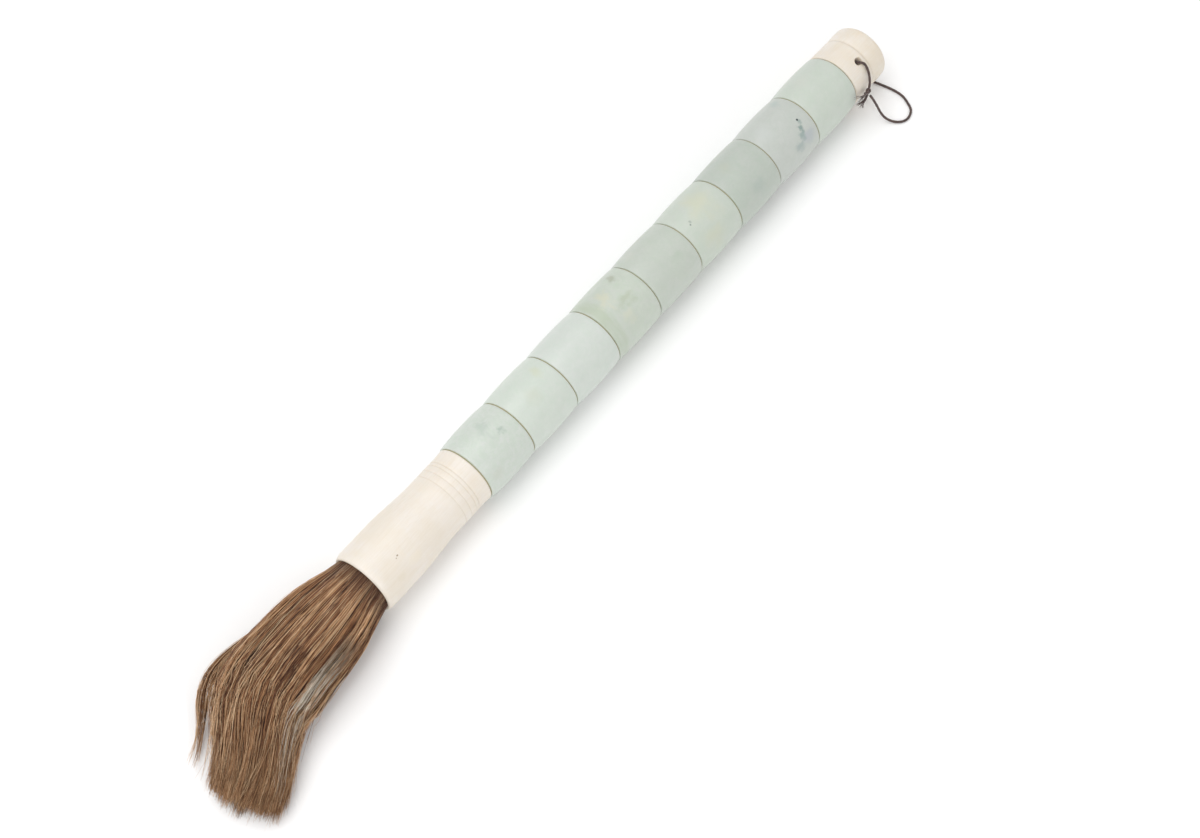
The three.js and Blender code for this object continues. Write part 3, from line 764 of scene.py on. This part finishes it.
def end_cap():
    start, neck, tip = GRIP - 0.7 * MM, GRIP - 0.9 * MM, GRIP - 1.0 * MM
    corner = 2.2 * MM
    profile = [(CAP_START + 4.8 * MM, 0.3 * MM), (CAP_START + 4.8 * MM, BORE),
               (CAP_START, BORE)]
    profile += arc(CAP_START + 0.35 * MM, start - 0.35 * MM, 0.35 * MM, 180, 90, 5)
    for i in range(1, 9):
        t = i / 8
        x = CAP_START + (0.35 + 9.2 * t) * MM
        profile.append((x, start + (neck - start) * t * t * (3 - 2 * t)))
    for step, share in ((-1.0, 0), (-0.8, 0.1), (-0.5, 0.75), (-0.2, 1), (0.1, 0.9), (0.5, 0.35),
                        (0.9, 0.05)):
        base = neck + (tip - neck) * max(0, min(1, (step + 1) / 2))
        profile.append((CAP_GROOVE + step * MM, base - 0.3 * share * MM))
    for i in range(1, 5):
        x = CAP_GROOVE + 0.9 * MM + (CAP_END - corner - CAP_GROOVE - 0.9 * MM) * i / 5
        profile.append((x, tip + 0.12 * MM * math.sin(math.pi * i / 5)))
    profile += arc(CAP_END - corner, tip - corner, corner, 90, 0, 14)
    profile += [(CAP_END, 6.6 * MM), (CAP_END - 0.12 * MM, 6.2 * MM), (CAP_END, 5.8 * MM),
                (CAP_END, 2.0 * MM), (CAP_END, 0.3 * MM)]
    piece = turn("end_cap_turned", profile, sides=144)
    bm = bmesh.new()
    bm.from_mesh(piece.data)
    bmesh.ops.remove_doubles(bm, verts=bm.verts, dist=1e-7)
    # close the two pin-sized gaps left on the axis
    inner = [f for f in bm.faces if all((v.co.y - AXIS_Y) ** 2 + (v.co.z - AXIS_Z) ** 2
                                        < (0.31 * MM) ** 2 for v in f.verts)]
    bmesh.ops.delete(bm, geom=inner, context="FACES")
    bmesh.ops.holes_fill(bm, edges=[e for e in bm.edges if e.is_boundary], sides=0)
    bmesh.ops.recalc_face_normals(bm, faces=bm.faces)
    bm.to_mesh(piece.data)
    bm.free()
    cutter = drill()
    cut = piece.modifiers.new("cross_hole", "BOOLEAN")
    cut.operation = "DIFFERENCE"
    cut.solver = "EXACT"
    cut.object = cutter
    bpy.context.view_layer.update()
    evaluated = piece.evaluated_get(bpy.context.evaluated_depsgraph_get())
    mesh = bpy.data.meshes.new_from_object(evaluated)
    piece.modifiers.clear()
    piece.data = mesh
    bpy.data.objects.remove(cutter)
    mesh.polygons.foreach_set("use_smooth", [True] * len(mesh.polygons))
    sharpen(piece)
    # painted shade: darker lines in the cap's groove and at its joint with the beads
    rings = [(CAP_GROOVE - 0.2 * MM, 0.7, 0.3), (CAP_START, 0.6, 0.3)]
    # painted shade: a darker patch round the cross hole's mouth
    hole = on_handle(CROSS_HOLE_X / MM, 30, 11.4)
    spots = [(hole, (2.3, 2.3, 2.3), paint(206, 186, 152), 0.5)]
    mesh.materials.clear()
    mesh.materials.append(bone("bone_cap", rings, spots, warm=0.25))
    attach(piece, "handle")
    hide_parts("end_cap")


# ---- hair ----
# The tuft's own line, from inside the sleeve to past the tips. Millimetres from the mouth:
# x, y, half width, half height.
TUFT_LINE = [
    (9.0, 0.0, 9.6, 9.6), (4.0, 0.0, 10.6, 10.6), (0.0, 0.0, 10.9, 10.9),
    (-6.0, 0.1, 12.4, 11.5), (-14.0, 0.2, 14.9, 11.6), (-23.0, 0.6, 16.2, 11.1),
    (-33.0, 0.8, 16.6, 10.4), (-42.0, 0.6, 17.2, 9.5), (-50.2, -0.9, 16.6, 8.5),
    (-57.8, -5.6, 13.9, 7.3), (-65.6, -11.3, 12.4, 6.2), (-73.6, -16.1, 12.2, 5.1),
    (-81.9, -19.8, 11.6, 3.9), (-88.2, -22.9, 10.6, 3.0)]
LOCK_LINE = [
    (-30.0, 16.2, 1.0, 1.6), (-38.0, 17.9, 1.3, 2.0), (-46.0, 19.1, 1.7, 2.3),
    (-52.5, 19.2, 2.1, 2.6), (-58.4, 17.6, 2.2, 2.6), (-63.2, 14.7, 1.9, 2.2),
    (-66.8, 11.6, 1.1, 1.8), (-70.8, 8.9, 0.9, 1.4), (-75.2, 6.4, 1.2, 1.1),
    (-80.0, 4.4, 2.0, 0.9)]
LOCK_HEIGHTS = [9.0, 9.4, 9.2, 8.6, 7.6, 6.2, 4.8, 3.4, 2.2, 1.3]
TABLE_GAP = 0.5
MOUTH_HEIGHT = 12.6


def tuft_height(x, half):
    """Height of the tuft's line: it leaves the mouth level and then lies on the table."""
    lie = TABLE_GAP + half
    t = min(1.0, max(0.0, -x / 14.0))
    return MOUTH_HEIGHT + (lie - MOUTH_HEIGHT) * t * t * (3 - 2 * t)


def guide(name, points, widths, heights):
    """A curve that the strands follow, with the tuft's half width and half height on it."""
    fine = smooth_run(points, 8)
    sizes = smooth_run([(w, h, 0) for w, h in zip(widths, heights)], 8)
    curve = bpy.data.curves.new(name, "CURVE")
    curve.dimensions = "3D"
    spline = curve.splines.new("POLY")
    spline.points.add(len(fine) - 1)
    for point, co, size in zip(spline.points, fine, sizes):
        point.co = (*co, 1.0)
        point.radius = size[0] * MM
        point.tilt = size[1] * MM
    return link(bpy.data.objects.new(name, curve))


def tuft_guide():
    points = [from_mouth(x, y, tuft_height(x, h)) for x, y, _, h in TUFT_LINE]
    return guide("tuft_guide", points, [p[2] for p in TUFT_LINE], [p[3] for p in TUFT_LINE])


def lock_guide():
    points = [from_mouth(x, y, z) for (x, y, _, _), z in zip(LOCK_LINE, LOCK_HEIGHTS)]
    return guide("lock_guide", points, [p[2] for p in LOCK_LINE], [p[3] for p in LOCK_LINE])


class Weave:
    """Short names for building a geometry node tree."""

    def __init__(self, name):
        self.tree = bpy.data.node_groups.new(name, "GeometryNodeTree")
        self.face = self.tree.interface
        self.sockets = {}

    def given(self, label, kind, value=None):
        socket = self.face.new_socket(label, in_out="INPUT", socket_type=kind)
        if value is not None:
            socket.default_value = value
        self.sockets[label] = socket.identifier

    def node(self, kind, **settings):
        return put(self.tree, kind, **settings)

    def maths(self, operation, a, b=0.0, clamp=False):
        return number(self.tree, operation, a, b, clamp)

    def times(self, a, b, clamp=False):
        return self.maths("MULTIPLY", a, b, clamp)

    def plus(self, a, b, clamp=False):
        return self.maths("ADD", a, b, clamp)

    def minus(self, a, b):
        return self.maths("SUBTRACT", a, b)

    def vector(self, operation, a, b=None, scale=None):
        settings = {"_operation": operation, "i0": a}
        if b is not None:
            settings["i1"] = b
        if scale is not None:
            settings["Scale"] = scale
        node = self.node("ShaderNodeVectorMath", **settings)
        return node.outputs["Value"] if operation in ("LENGTH", "DOT_PRODUCT") else node.outputs[0]

    def named(self, label):
        return self.node("GeometryNodeInputNamedAttribute", _data_type="FLOAT",
                         Name=label).outputs["Attribute"]

    def store(self, geometry, label, value, domain="POINT"):
        return self.node("GeometryNodeStoreNamedAttribute", _data_type="FLOAT", _domain=domain,
                         Geometry=geometry, Name=label, Value=value).outputs["Geometry"]

    def random(self, low, high, seed):
        node = self.node("FunctionNodeRandomValue", _data_type="FLOAT", Seed=seed)
        feed(self.tree, node.inputs[2], low)
        feed(self.tree, node.inputs[3], high)
        return node.outputs[1]


# What a tuft of strands can be asked for, and its values where nothing is asked.
STRAND_COUNTS = [
    ("Count", 1000), ("Steps", 12), ("Seed", 1)]
STRAND_SHAPE = [
    ("Thickness mm", 0.1), ("Inner", 0.0), ("Across centre", 0.0), ("Across spread", 1.0),
    ("Up centre", 0.0), ("Up spread", 1.0), ("Start", 0.0), ("Shortest", 0.9), ("Longest", 0.97),
    ("Slant", 0.04), ("Ragged", 0.09), ("Rounding", 0.035), ("Locks", 6.0), ("Gather", 0.5),
    ("Swing", 0.7), ("Stray mm", 1.0), ("Curl mm", 0.2), ("Tone", 0.5), ("Tone spread", 0.3)]


def strands_tree():
    """Hair strands that follow the guide curve they are put on. Each strand keeps its place
    across the tuft, draws together with its neighbours into locks, and strays a little."""
    w = Weave("strands")
    w.given("Geometry", "NodeSocketGeometry")
    for label, value in STRAND_COUNTS:
        w.given(label, "NodeSocketInt", value)
    for label, value in STRAND_SHAPE:
        w.given(label, FLOAT, value)
    w.given("Material", "NodeSocketMaterial")
    w.face.new_socket("Geometry", in_out="OUTPUT", socket_type="NodeSocketGeometry")
    given = w.tree.nodes.new("NodeGroupInput").outputs
    out = w.tree.nodes.new("NodeGroupOutput").inputs
    seed = given["Seed"]

    def seeded(step):
        return w.plus(seed, float(step))

    # one point for each strand, with its place across the tuft
    points = w.node("GeometryNodePoints", Count=given["Count"]).outputs["Points"]
    angle = w.random(0.0, 2 * math.pi, seeded(1))
    inner = w.times(given["Inner"], given["Inner"])
    reach = w.maths("SQRT", w.random(inner, 1.0, seeded(2)))
    across = w.times(reach, w.maths("COSINE", angle))
    across = w.plus(given["Across centre"], w.times(given["Across spread"], across))
    up = w.times(reach, w.maths("SINE", angle))
    up = w.plus(given["Up centre"], w.times(given["Up spread"], up))
    points = w.store(points, "across", across)
    points = w.store(points, "up", up)
    length = w.minus(w.random(given["Shortest"], given["Longest"], seeded(3)),
                     w.times(given["Slant"], w.named("across")))
    length = w.minus(length, w.times(given["Rounding"], w.maths(
        "POWER", w.maths("ABSOLUTE", w.named("across")), 3.0)))
    clump = w.node("ShaderNodeCombineXYZ", X=w.named("across"), Y=w.named("up"), Z=3.0)
    uneven = w.node("ShaderNodeTexNoise", Vector=clump.outputs[0], Scale=3.4, Detail=2.0)
    length = w.plus(length, w.times(given["Ragged"], w.minus(uneven.outputs["Fac"], 0.5)))
    points = w.store(points, "length", length)
    points = w.store(points, "luck", w.random(0.0, 1.0, seeded(4)))

    # a straight strand on each point, with its curve bent afterwards
    line = w.node("GeometryNodeCurvePrimitiveLine").outputs["Curve"]
    line = w.node("GeometryNodeResampleCurve", Curve=line, Count=given["Steps"]).outputs["Curve"]
    strands = w.node("GeometryNodeInstanceOnPoints", Points=points, Instance=line).outputs[0]
    strands = w.node("GeometryNodeRealizeInstances", Geometry=strands).outputs["Geometry"]
    step = w.node("GeometryNodeSplineParameter").outputs["Factor"]
    strands = w.store(strands, "along", step)
    begin = w.times(given["Start"], w.plus(0.75, w.times(w.named("luck"), 0.6)))
    share = w.plus(begin, w.times(w.named("along"), w.minus(w.named("length"), begin)))

    def sampled(value=None, output=0):
        node = w.node("GeometryNodeSampleCurve", _mode="FACTOR", _use_all_curves=True,
                      Curves=given["Geometry"], Factor=share)
        if value is not None:
            w.tree.links.new(value, node.inputs["Value"])
        return node.outputs[output]

    place = sampled(output=1)
    tangent = sampled(output=2)
    half_width = sampled(w.node("GeometryNodeInputRadius").outputs[0])
    half_height = sampled(w.node("GeometryNodeInputCurveTilt").outputs[0])
    side = w.vector("NORMALIZE", w.vector("CROSS_PRODUCT", tangent, (0.0, 0.0, 1.0)))
    above = w.vector("CROSS_PRODUCT", side, tangent)

    # locks: neighbours draw towards a shared middle on the way to the tip
    across, up, luck = w.named("across"), w.named("up"), w.named("luck")
    here = w.node("ShaderNodeCombineXYZ", X=across, Y=up, Z=0.0).outputs[0]
    cell = w.node("ShaderNodeTexVoronoi", _voronoi_dimensions="2D", Vector=here,
                  Scale=given["Locks"])
    fine_cell = w.node("ShaderNodeTexVoronoi", _voronoi_dimensions="2D", Vector=here,
                       Scale=w.times(given["Locks"], 3.1))
    draw = w.times(given["Gather"], w.maths("POWER", share, 0.8), clamp=True)
    apart = w.vector("SUBTRACT", cell.outputs["Position"], here)
    apart_fine = w.vector("SUBTRACT", fine_cell.outputs["Position"], here)
    drawn = w.vector("ADD", here, w.vector("SCALE", apart, scale=w.times(draw, 0.55)))
    drawn = w.vector("ADD", drawn, w.vector("SCALE", apart_fine, scale=w.times(draw, 0.6)))
    swing = w.node("ShaderNodeTexNoise", _noise_dimensions="3D", Vector=here, Scale=2.1,
                   Detail=1.0).outputs["Color"]
    swell = w.times(given["Swing"], w.maths("SINE", w.times(share, 3.6)))
    drift = w.vector("SCALE", w.vector("SUBTRACT", swing, (0.5, 0.5, 0.5)), scale=swell)
    spread = w.node("ShaderNodeSeparateXYZ", Vector=w.vector("ADD", drawn, drift)).outputs

    # each lock wanders on its own, and each strand strays and waves a little
    def wander(who, pace, size):
        """A smooth way to and fro that grows towards the tip."""
        way = w.node("ShaderNodeTexNoise", _noise_dimensions="4D", Vector=who,
                     W=w.times(share, pace), Scale=1.0, Detail=0.0).outputs["Color"]
        return w.vector("SCALE", w.vector("SUBTRACT", way, (0.5, 0.5, 0.5)),
                        scale=w.times(size, w.maths("POWER", share, 1.3)))

    lock_id = w.vector("SCALE", cell.outputs["Position"], scale=7.3)
    own_id = w.node("ShaderNodeCombineXYZ", X=w.times(luck, 91.0), Y=seed, Z=0.0).outputs[0]
    stray = w.times(given["Stray mm"], MM)
    sway = wander(lock_id, 2.2, w.times(stray, 4.0))
    roam = wander(own_id, 3.4, w.times(stray, 2.4))
    curl = wander(own_id, 16.0, w.times(given["Curl mm"], 2.0 * MM))
    end = w.vector("ADD", place, w.vector("SCALE", side, scale=w.times(half_width, spread["X"])))
    end = w.vector("ADD", end, w.vector("SCALE", above, scale=w.times(half_height, spread["Y"])))
    for push in (sway, roam, curl):
        end = w.vector("ADD", end, push)
    parts = w.node("ShaderNodeSeparateXYZ", Vector=end).outputs
    floor = w.plus(0.00018, w.times(luck, 0.0004))
    end = w.node("ShaderNodeCombineXYZ", X=parts["X"], Y=parts["Y"],
                 Z=w.maths("MAXIMUM", parts["Z"], floor)).outputs[0]
    strands = w.node("GeometryNodeSetPosition", Geometry=strands, Position=end).outputs[0]

    # shade: streaks that follow the locks, and luck
    streak = w.node("ShaderNodeTexNoise", _noise_dimensions="3D", Vector=here, Scale=5.5,
                    Detail=4.0, Roughness=0.7).outputs["Fac"]
    lean = w.times(w.minus(streak, 0.5), w.times(given["Tone spread"], 1.5))
    chance = w.times(w.minus(luck, 0.5), w.times(given["Tone spread"], 2.8))
    tone = w.plus(given["Tone"], w.plus(lean, chance), clamp=True)
    strands = w.store(strands, "tone", tone)

    taper = w.minus(1.0, w.times(w.maths("POWER", w.named("along"), 3.0), 0.7))
    own = w.plus(0.7, w.times(luck, 0.6))
    radius = w.times(w.times(given["Thickness mm"], 0.5 * MM), w.times(taper, own))
    ring = w.node("GeometryNodeCurvePrimitiveCircle", Resolution=3, Radius=1.0).outputs["Curve"]
    tubes = w.node("GeometryNodeCurveToMesh", Curve=strands, Profile_Curve=ring, Scale=radius)
    tubes.inputs["Fill Caps"].default_value = True
    solid = w.node("GeometryNodeRealizeInstances", Geometry=tubes.outputs[0]).outputs["Geometry"]
    solid = w.node("GeometryNodeSetShadeSmooth", Geometry=solid).outputs[0]
    done = w.node("GeometryNodeSetMaterial", Geometry=solid, Material=given["Material"])
    w.tree.links.new(done.outputs["Geometry"], out["Geometry"])
    return w


def grow(weave, source, name, material, **values):
    """Grows strands along a guide and returns them as one plain mesh."""
    holder = link(bpy.data.objects.new(f"{name}_holder", source.data))
    modifier = holder.modifiers.new("strands", "NODES")
    modifier.node_group = weave.tree
    for label, value in values.items():
        modifier[weave.sockets[label.replace("_", " ")]] = value
    modifier[weave.sockets["Material"]] = material
    bpy.context.view_layer.update()
    graph = bpy.context.evaluated_depsgraph_get()
    mesh = bpy.data.meshes.new_from_object(holder.evaluated_get(graph))
    mesh.name = name
    holder.modifiers.clear()
    bpy.data.objects.remove(holder)
    for extra in ("across", "up", "length", "luck", "radius", "tilt"):
        if extra in mesh.attributes:
            mesh.attributes.remove(mesh.attributes[extra])
    return link(bpy.data.objects.new(name, mesh))


def under_body(source):
    """A closed, combed body just inside the strands, so that no light comes through."""
    points = source.data.splines[0].points
    count = len(points)
    rings = range(2, int(count * 0.84), 2)
    around = 64
    verts, tones, alongs = [], [], []
    for k in rings:
        here = points[k].co.xyz
        ahead = (points[k + 1].co.xyz - points[k - 1].co.xyz).normalized()
        side = ahead.cross(Vector((0, 0, 1))).normalized()
        above = side.cross(ahead)
        share = k / (count - 1)
        shrink = 0.84 - 0.5 * max(0.0, (share - 0.66) / 0.18) ** 2
        for i in range(around):
            a = 2 * math.pi * i / around
            comb = 1 + 0.035 * noise.noise(Vector((6 * math.cos(a), 6 * math.sin(a), share * 1.5)))
            reach = shrink * comb
            p = (here + side * (points[k].radius * reach * math.cos(a))
                 + above * (points[k].tilt * reach * math.sin(a)))
            p.z = max(p.z, 0.0005)
            verts.append(p)
            tones.append(0.28 + 0.25 * noise.noise(Vector((9 * math.cos(a), 9 * math.sin(a), share))))
            alongs.append(share)
    piece = mesh_object("hair_under_body", verts, skin(len(rings), around))
    for label, values in (("tone", tones), ("along", alongs)):
        data = piece.data.attributes.new(label, "FLOAT", "POINT").data
        data.foreach_set("value", values)
    return piece


def hair():
    weave = strands_tree()
    tuft, lock = tuft_guide(), lock_guide()
    brown = hair_material("hair_brown", BROWN_TONES)
    grey = hair_material("hair_grey", GREY_TONES, root_shade=0.35)

    body = under_body(tuft)
    body.data.materials.append(brown)
    pieces = [body]
    for i in range(4):
        pieces.append(grow(
            weave, tuft, f"hair_mantle_{i + 1}", brown, Count=3000, Steps=11, Seed=11 + 37 * i,
            Thickness_mm=0.19, Inner=0.82 if i else 0.3, Shortest=0.84, Longest=0.915,
            Slant=0.012, Ragged=0.13, Locks=4.0 + 1.5 * i, Gather=0.3, Swing=0.7,
            Stray_mm=2.2, Curl_mm=0.9, Tone=0.41, Tone_spread=0.5))
    pieces.append(grow(
        weave, tuft, "hair_dark_locks", brown, Count=1000, Steps=12, Seed=301, Thickness_mm=0.22,
        Inner=0.94, Shortest=0.55, Longest=0.9, Slant=0.012, Locks=9.0, Gather=0.8, Stray_mm=3.0,
        Curl_mm=0.4, Tone=0.12, Tone_spread=0.2))
    pieces.append(grow(
        weave, tuft, "hair_fair_strands", brown, Count=750, Steps=13, Seed=402,
        Thickness_mm=0.18, Inner=0.98, Shortest=0.6, Longest=0.91, Slant=0.012, Locks=9.0,
        Gather=0.1, Swing=1.2, Stray_mm=4.6, Curl_mm=1.4, Tone=0.85, Tone_spread=0.25))
    pieces.append(grow(
        weave, tuft, "hair_grey_streak", grey, Count=240, Steps=12, Seed=77, Thickness_mm=0.16,
        Across_centre=-0.82, Across_spread=0.2, Up_centre=0.56, Up_spread=0.24, Start=0.3,
        Shortest=0.55, Longest=0.84, Rounding=0.0, Swing=0.4, Locks=8.0, Gather=0.1,
        Stray_mm=2.4, Curl_mm=0.7, Tone=0.7, Tone_spread=0.4))
    pieces.append(grow(
        weave, tuft, "hair_flyaways", brown, Count=240, Steps=14, Seed=913, Thickness_mm=0.09,
        Inner=0.99, Shortest=0.45, Longest=0.92, Slant=0.012, Locks=3.0, Gather=0.0,
        Stray_mm=5.5, Curl_mm=1.2, Tone=0.66, Tone_spread=0.5))
    for piece in pieces:
        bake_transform(piece)
    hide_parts("hair_mantle")

    stray = grow(
        weave, lock, "hair_stray_lock_strands", brown, Count=230, Steps=14, Seed=58,
        Thickness_mm=0.14, Shortest=0.6, Longest=1.0, Slant=0.0, Rounding=0.0,
        Swing=0.2, Locks=2.0, Gather=0.35, Stray_mm=0.8, Curl_mm=0.5, Tone=0.6, Tone_spread=0.5)
    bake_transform(stray)
    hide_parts("hair_stray_lock")
    bpy.data.objects.remove(tuft)
    bpy.data.objects.remove(lock)


# ---- hang cord ----
CORD_RADIUS = 0.5 * MM
KNOT = (271.1, -13.5, 13.3)
# From the knot up over the cap, down through the cross hole, out under the cap and round
# in a loop on the table, back up to the knot. Millimetres from the mouth.
CORD_ROUTE = [
    (271.9, -13.5, 15.2), (273.3, -12.6, 16.9), (274.9, -10.5, 19.6), (275.2, -8.1, 22.1),
    (274.5, -6.4, 22.4), (274.3, -5.05, 21.35), (274.3, -3.0, 17.8), (274.3, 0, 12.6),
    (274.3, 3.0, 7.4), (274.3, 4.9, 4.1), (275.0, 5.75, 1.7), (276.7, 4.9, 0.7),
    (279.0, 3.0, 0.52), (281.6, 0.4, 0.52), (283.9, -3.0, 0.52), (285.3, -6.8, 0.52),
    (286.4, -11.8, 0.52), (287.1, -16.5, 0.52), (286.9, -20.4, 0.52), (285.6, -23.6, 0.52),
    (283.4, -26.8, 0.52), (279.7, -28.1, 0.52), (276.9, -27.3, 0.57), (274.6, -24.8, 0.9),
    (273.3, -22.0, 2.0), (272.8, -19.8, 4.0), (272.6, -18.2, 6.3), (272.1, -16.3, 9.5),
    (271.6, -14.7, 11.8)]
TAILS = [
    [(270.3, -13.8, 13.8), (268.6, -14.0, 14.6), (266.7, -14.1, 15.5), (264.8, -13.9, 16.6)],
    [(270.2, -14.0, 12.9), (268.7, -14.5, 12.8), (267.4, -14.6, 12.4), (266.4, -14.6, 11.6)]]


def knot_path():
    """An overhand knot, pulled tight."""
    centre = from_mouth(*KNOT)
    size = 0.46 * MM
    out = []
    for i in range(161):
        t = 2 * math.pi * i / 160 * 0.985
        out.append(centre + Vector((
            size * (math.sin(t) + 2 * math.sin(2 * t)) * 0.95,
            size * -math.sin(3 * t) * 0.95,
            size * (math.cos(t) - 2 * math.cos(2 * t)))))
    return out


def frayed_tail(name, points, material, seed):
    """A short end of cord whose plies have come apart into fibres."""
    rng = np.random.default_rng(seed)
    path = even_run(smooth_run([from_mouth(*p) for p in points], 10), 0.2 * MM)
    cut = int(len(path) * 0.62)
    parts = [twisted_tube(name, path[:cut + 1], CORD_RADIUS * 0.92, sides=14,
                          shrink=lambda t: 1.0 + 0.12 * t)]
    out = (path[cut] - path[cut - 2]).normalized()
    first = out.orthogonal().normalized()
    second = out.cross(first)
    for k in range(26):
        a = rng.uniform(0, 2 * math.pi)
        r = CORD_RADIUS * math.sqrt(rng.uniform(0, 0.8))
        start = path[cut - 1] + first * (r * math.cos(a)) + second * (r * math.sin(a))
        length = rng.uniform(2.0, 3.6) * MM
        lean = first * (math.cos(a) * rng.uniform(0.1, 0.6)) + second * (
            math.sin(a) * rng.uniform(0.1, 0.6))
        curl = first * rng.normal(0, 0.12) + second * rng.normal(0, 0.12)
        fibre = [start + (out + lean * t + curl * t * t) * (length * t)
                 for t in np.linspace(0, 1, 6)]
        for p in fibre:
            radial = Vector((0, p.y - AXIS_Y, p.z - AXIS_Z))
            low = GRIP + 0.25 * MM
            if radial.length < low:
                radial = radial.normalized() * low
                p.y, p.z = AXIS_Y + radial.y, AXIS_Z + radial.z
        parts.append(twisted_tube(f"{name}_fibre_{k}", fibre, 0.085 * MM, sides=5, groove=0.0,
                                  shrink=lambda t: 1.0 - 0.5 * t))
    return join(parts, material)


def join(parts, material):
    """One mesh object from several, with one material."""
    bm = bmesh.new()
    for part in parts:
        bm.from_mesh(part.data)
    keep = parts[0]
    mesh = bpy.data.meshes.new(keep.name)
    bm.to_mesh(mesh)
    bm.free()
    keep.data = mesh
    for part in parts[1:]:
        bpy.data.objects.remove(part)
    mesh.materials.append(material)
    return keep


def hang_cord():
    material = cord_material()
    path = even_run(smooth_run([from_mouth(*p) for p in CORD_ROUTE], 12), 0.25 * MM)
    cord = twisted_tube("hang_cord_laid", path, CORD_RADIUS)
    cord.data.materials.append(material)
    knot = twisted_tube("cord_knot_tied", knot_path(), CORD_RADIUS * 0.92, sides=14)
    knot.data.materials.append(material)
    tails = [frayed_tail(f"cord_tail_frayed_{i + 1}", points, material, 40 + i)
             for i, points in enumerate(TAILS)]
    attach(cord, "handle")
    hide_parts("hang_cord")
    for piece, node in ((knot, "cord_knot"), (tails[0], "cord_tail_1"), (tails[1], "cord_tail_2")):
        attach(piece, "handle")
        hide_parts(node)


# ---- carried-over pieces inside the handle ----
def inner_pieces():
    wood = plain_wood()
    finishes = {"core_rod": wood, "sleeve_plug": wood, "root_binding": binding_thread(),
                "root_cement": rosin(),
                "hair_root_bundle": hair_material("hair_butts", BROWN_TONES, 0.8),
                "hair_pillar": hair_material("hair_pillar", BROWN_TONES, 0.6)}
    for node, finish in finishes.items():
        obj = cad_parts[node]
        obj.data.materials.clear()
        obj.data.materials.append(finish)


# ---- table and light ----
def table():
    size = 2.2
    mesh = bpy.data.meshes.new("table")
    mesh.from_pydata([(-size, -size, 0), (size, -size, 0), (size, size, 0), (-size, size, 0)],
                     [], [(0, 1, 2, 3)])
    floor = link(bpy.data.objects.new("table", mesh))
    material, tree, shader, where = new_material("table_white")
    paper = put(tree, "ShaderNodeTexNoise", Vector=where, Scale=3.0, Detail=2.0)
    tree.links.new(mix(tree, paper.outputs["Fac"], paint(252, 252, 252), paint(254, 254, 254)),
                   shader.inputs["Base Color"])
    settle(shader, Roughness=0.9, Specular_IOR_Level=0.1)
    mesh.materials.append(material)


def lamp(name, place, size, power):
    data = bpy.data.lights.new(name, "AREA")
    data.shape = "DISK"
    data.size = size
    data.energy = power
    light = link(bpy.data.objects.new(name, data))
    light.location = place
    light.rotation_euler = (-Vector(place)).to_track_quat("-Z", "Y").to_euler()


def studio():
    world = bpy.data.worlds.new("studio")
    bpy.context.scene.world = world
    world.use_nodes = True
    sky = world.node_tree.nodes["Background"]
    sky.inputs["Color"].default_value = (1, 1, 1, 1)
    sky.inputs["Strength"].default_value = 0.64
    lamp("overhead", (-0.15, 0.45, 1.5), 1.5, 10.8)
    lamp("side", (-1.1, -0.1, 0.9), 0.8, 3.0)
    lamp("glint", (-0.36, -0.95, 0.8), 0.12, 2.2)
    bpy.context.scene.view_settings.view_transform = "Standard"


# ---- put together ----
hang_cord()
bone_sleeve()
beads()
seams()
end_cap()
hair()
inner_pieces()
table()
studio()
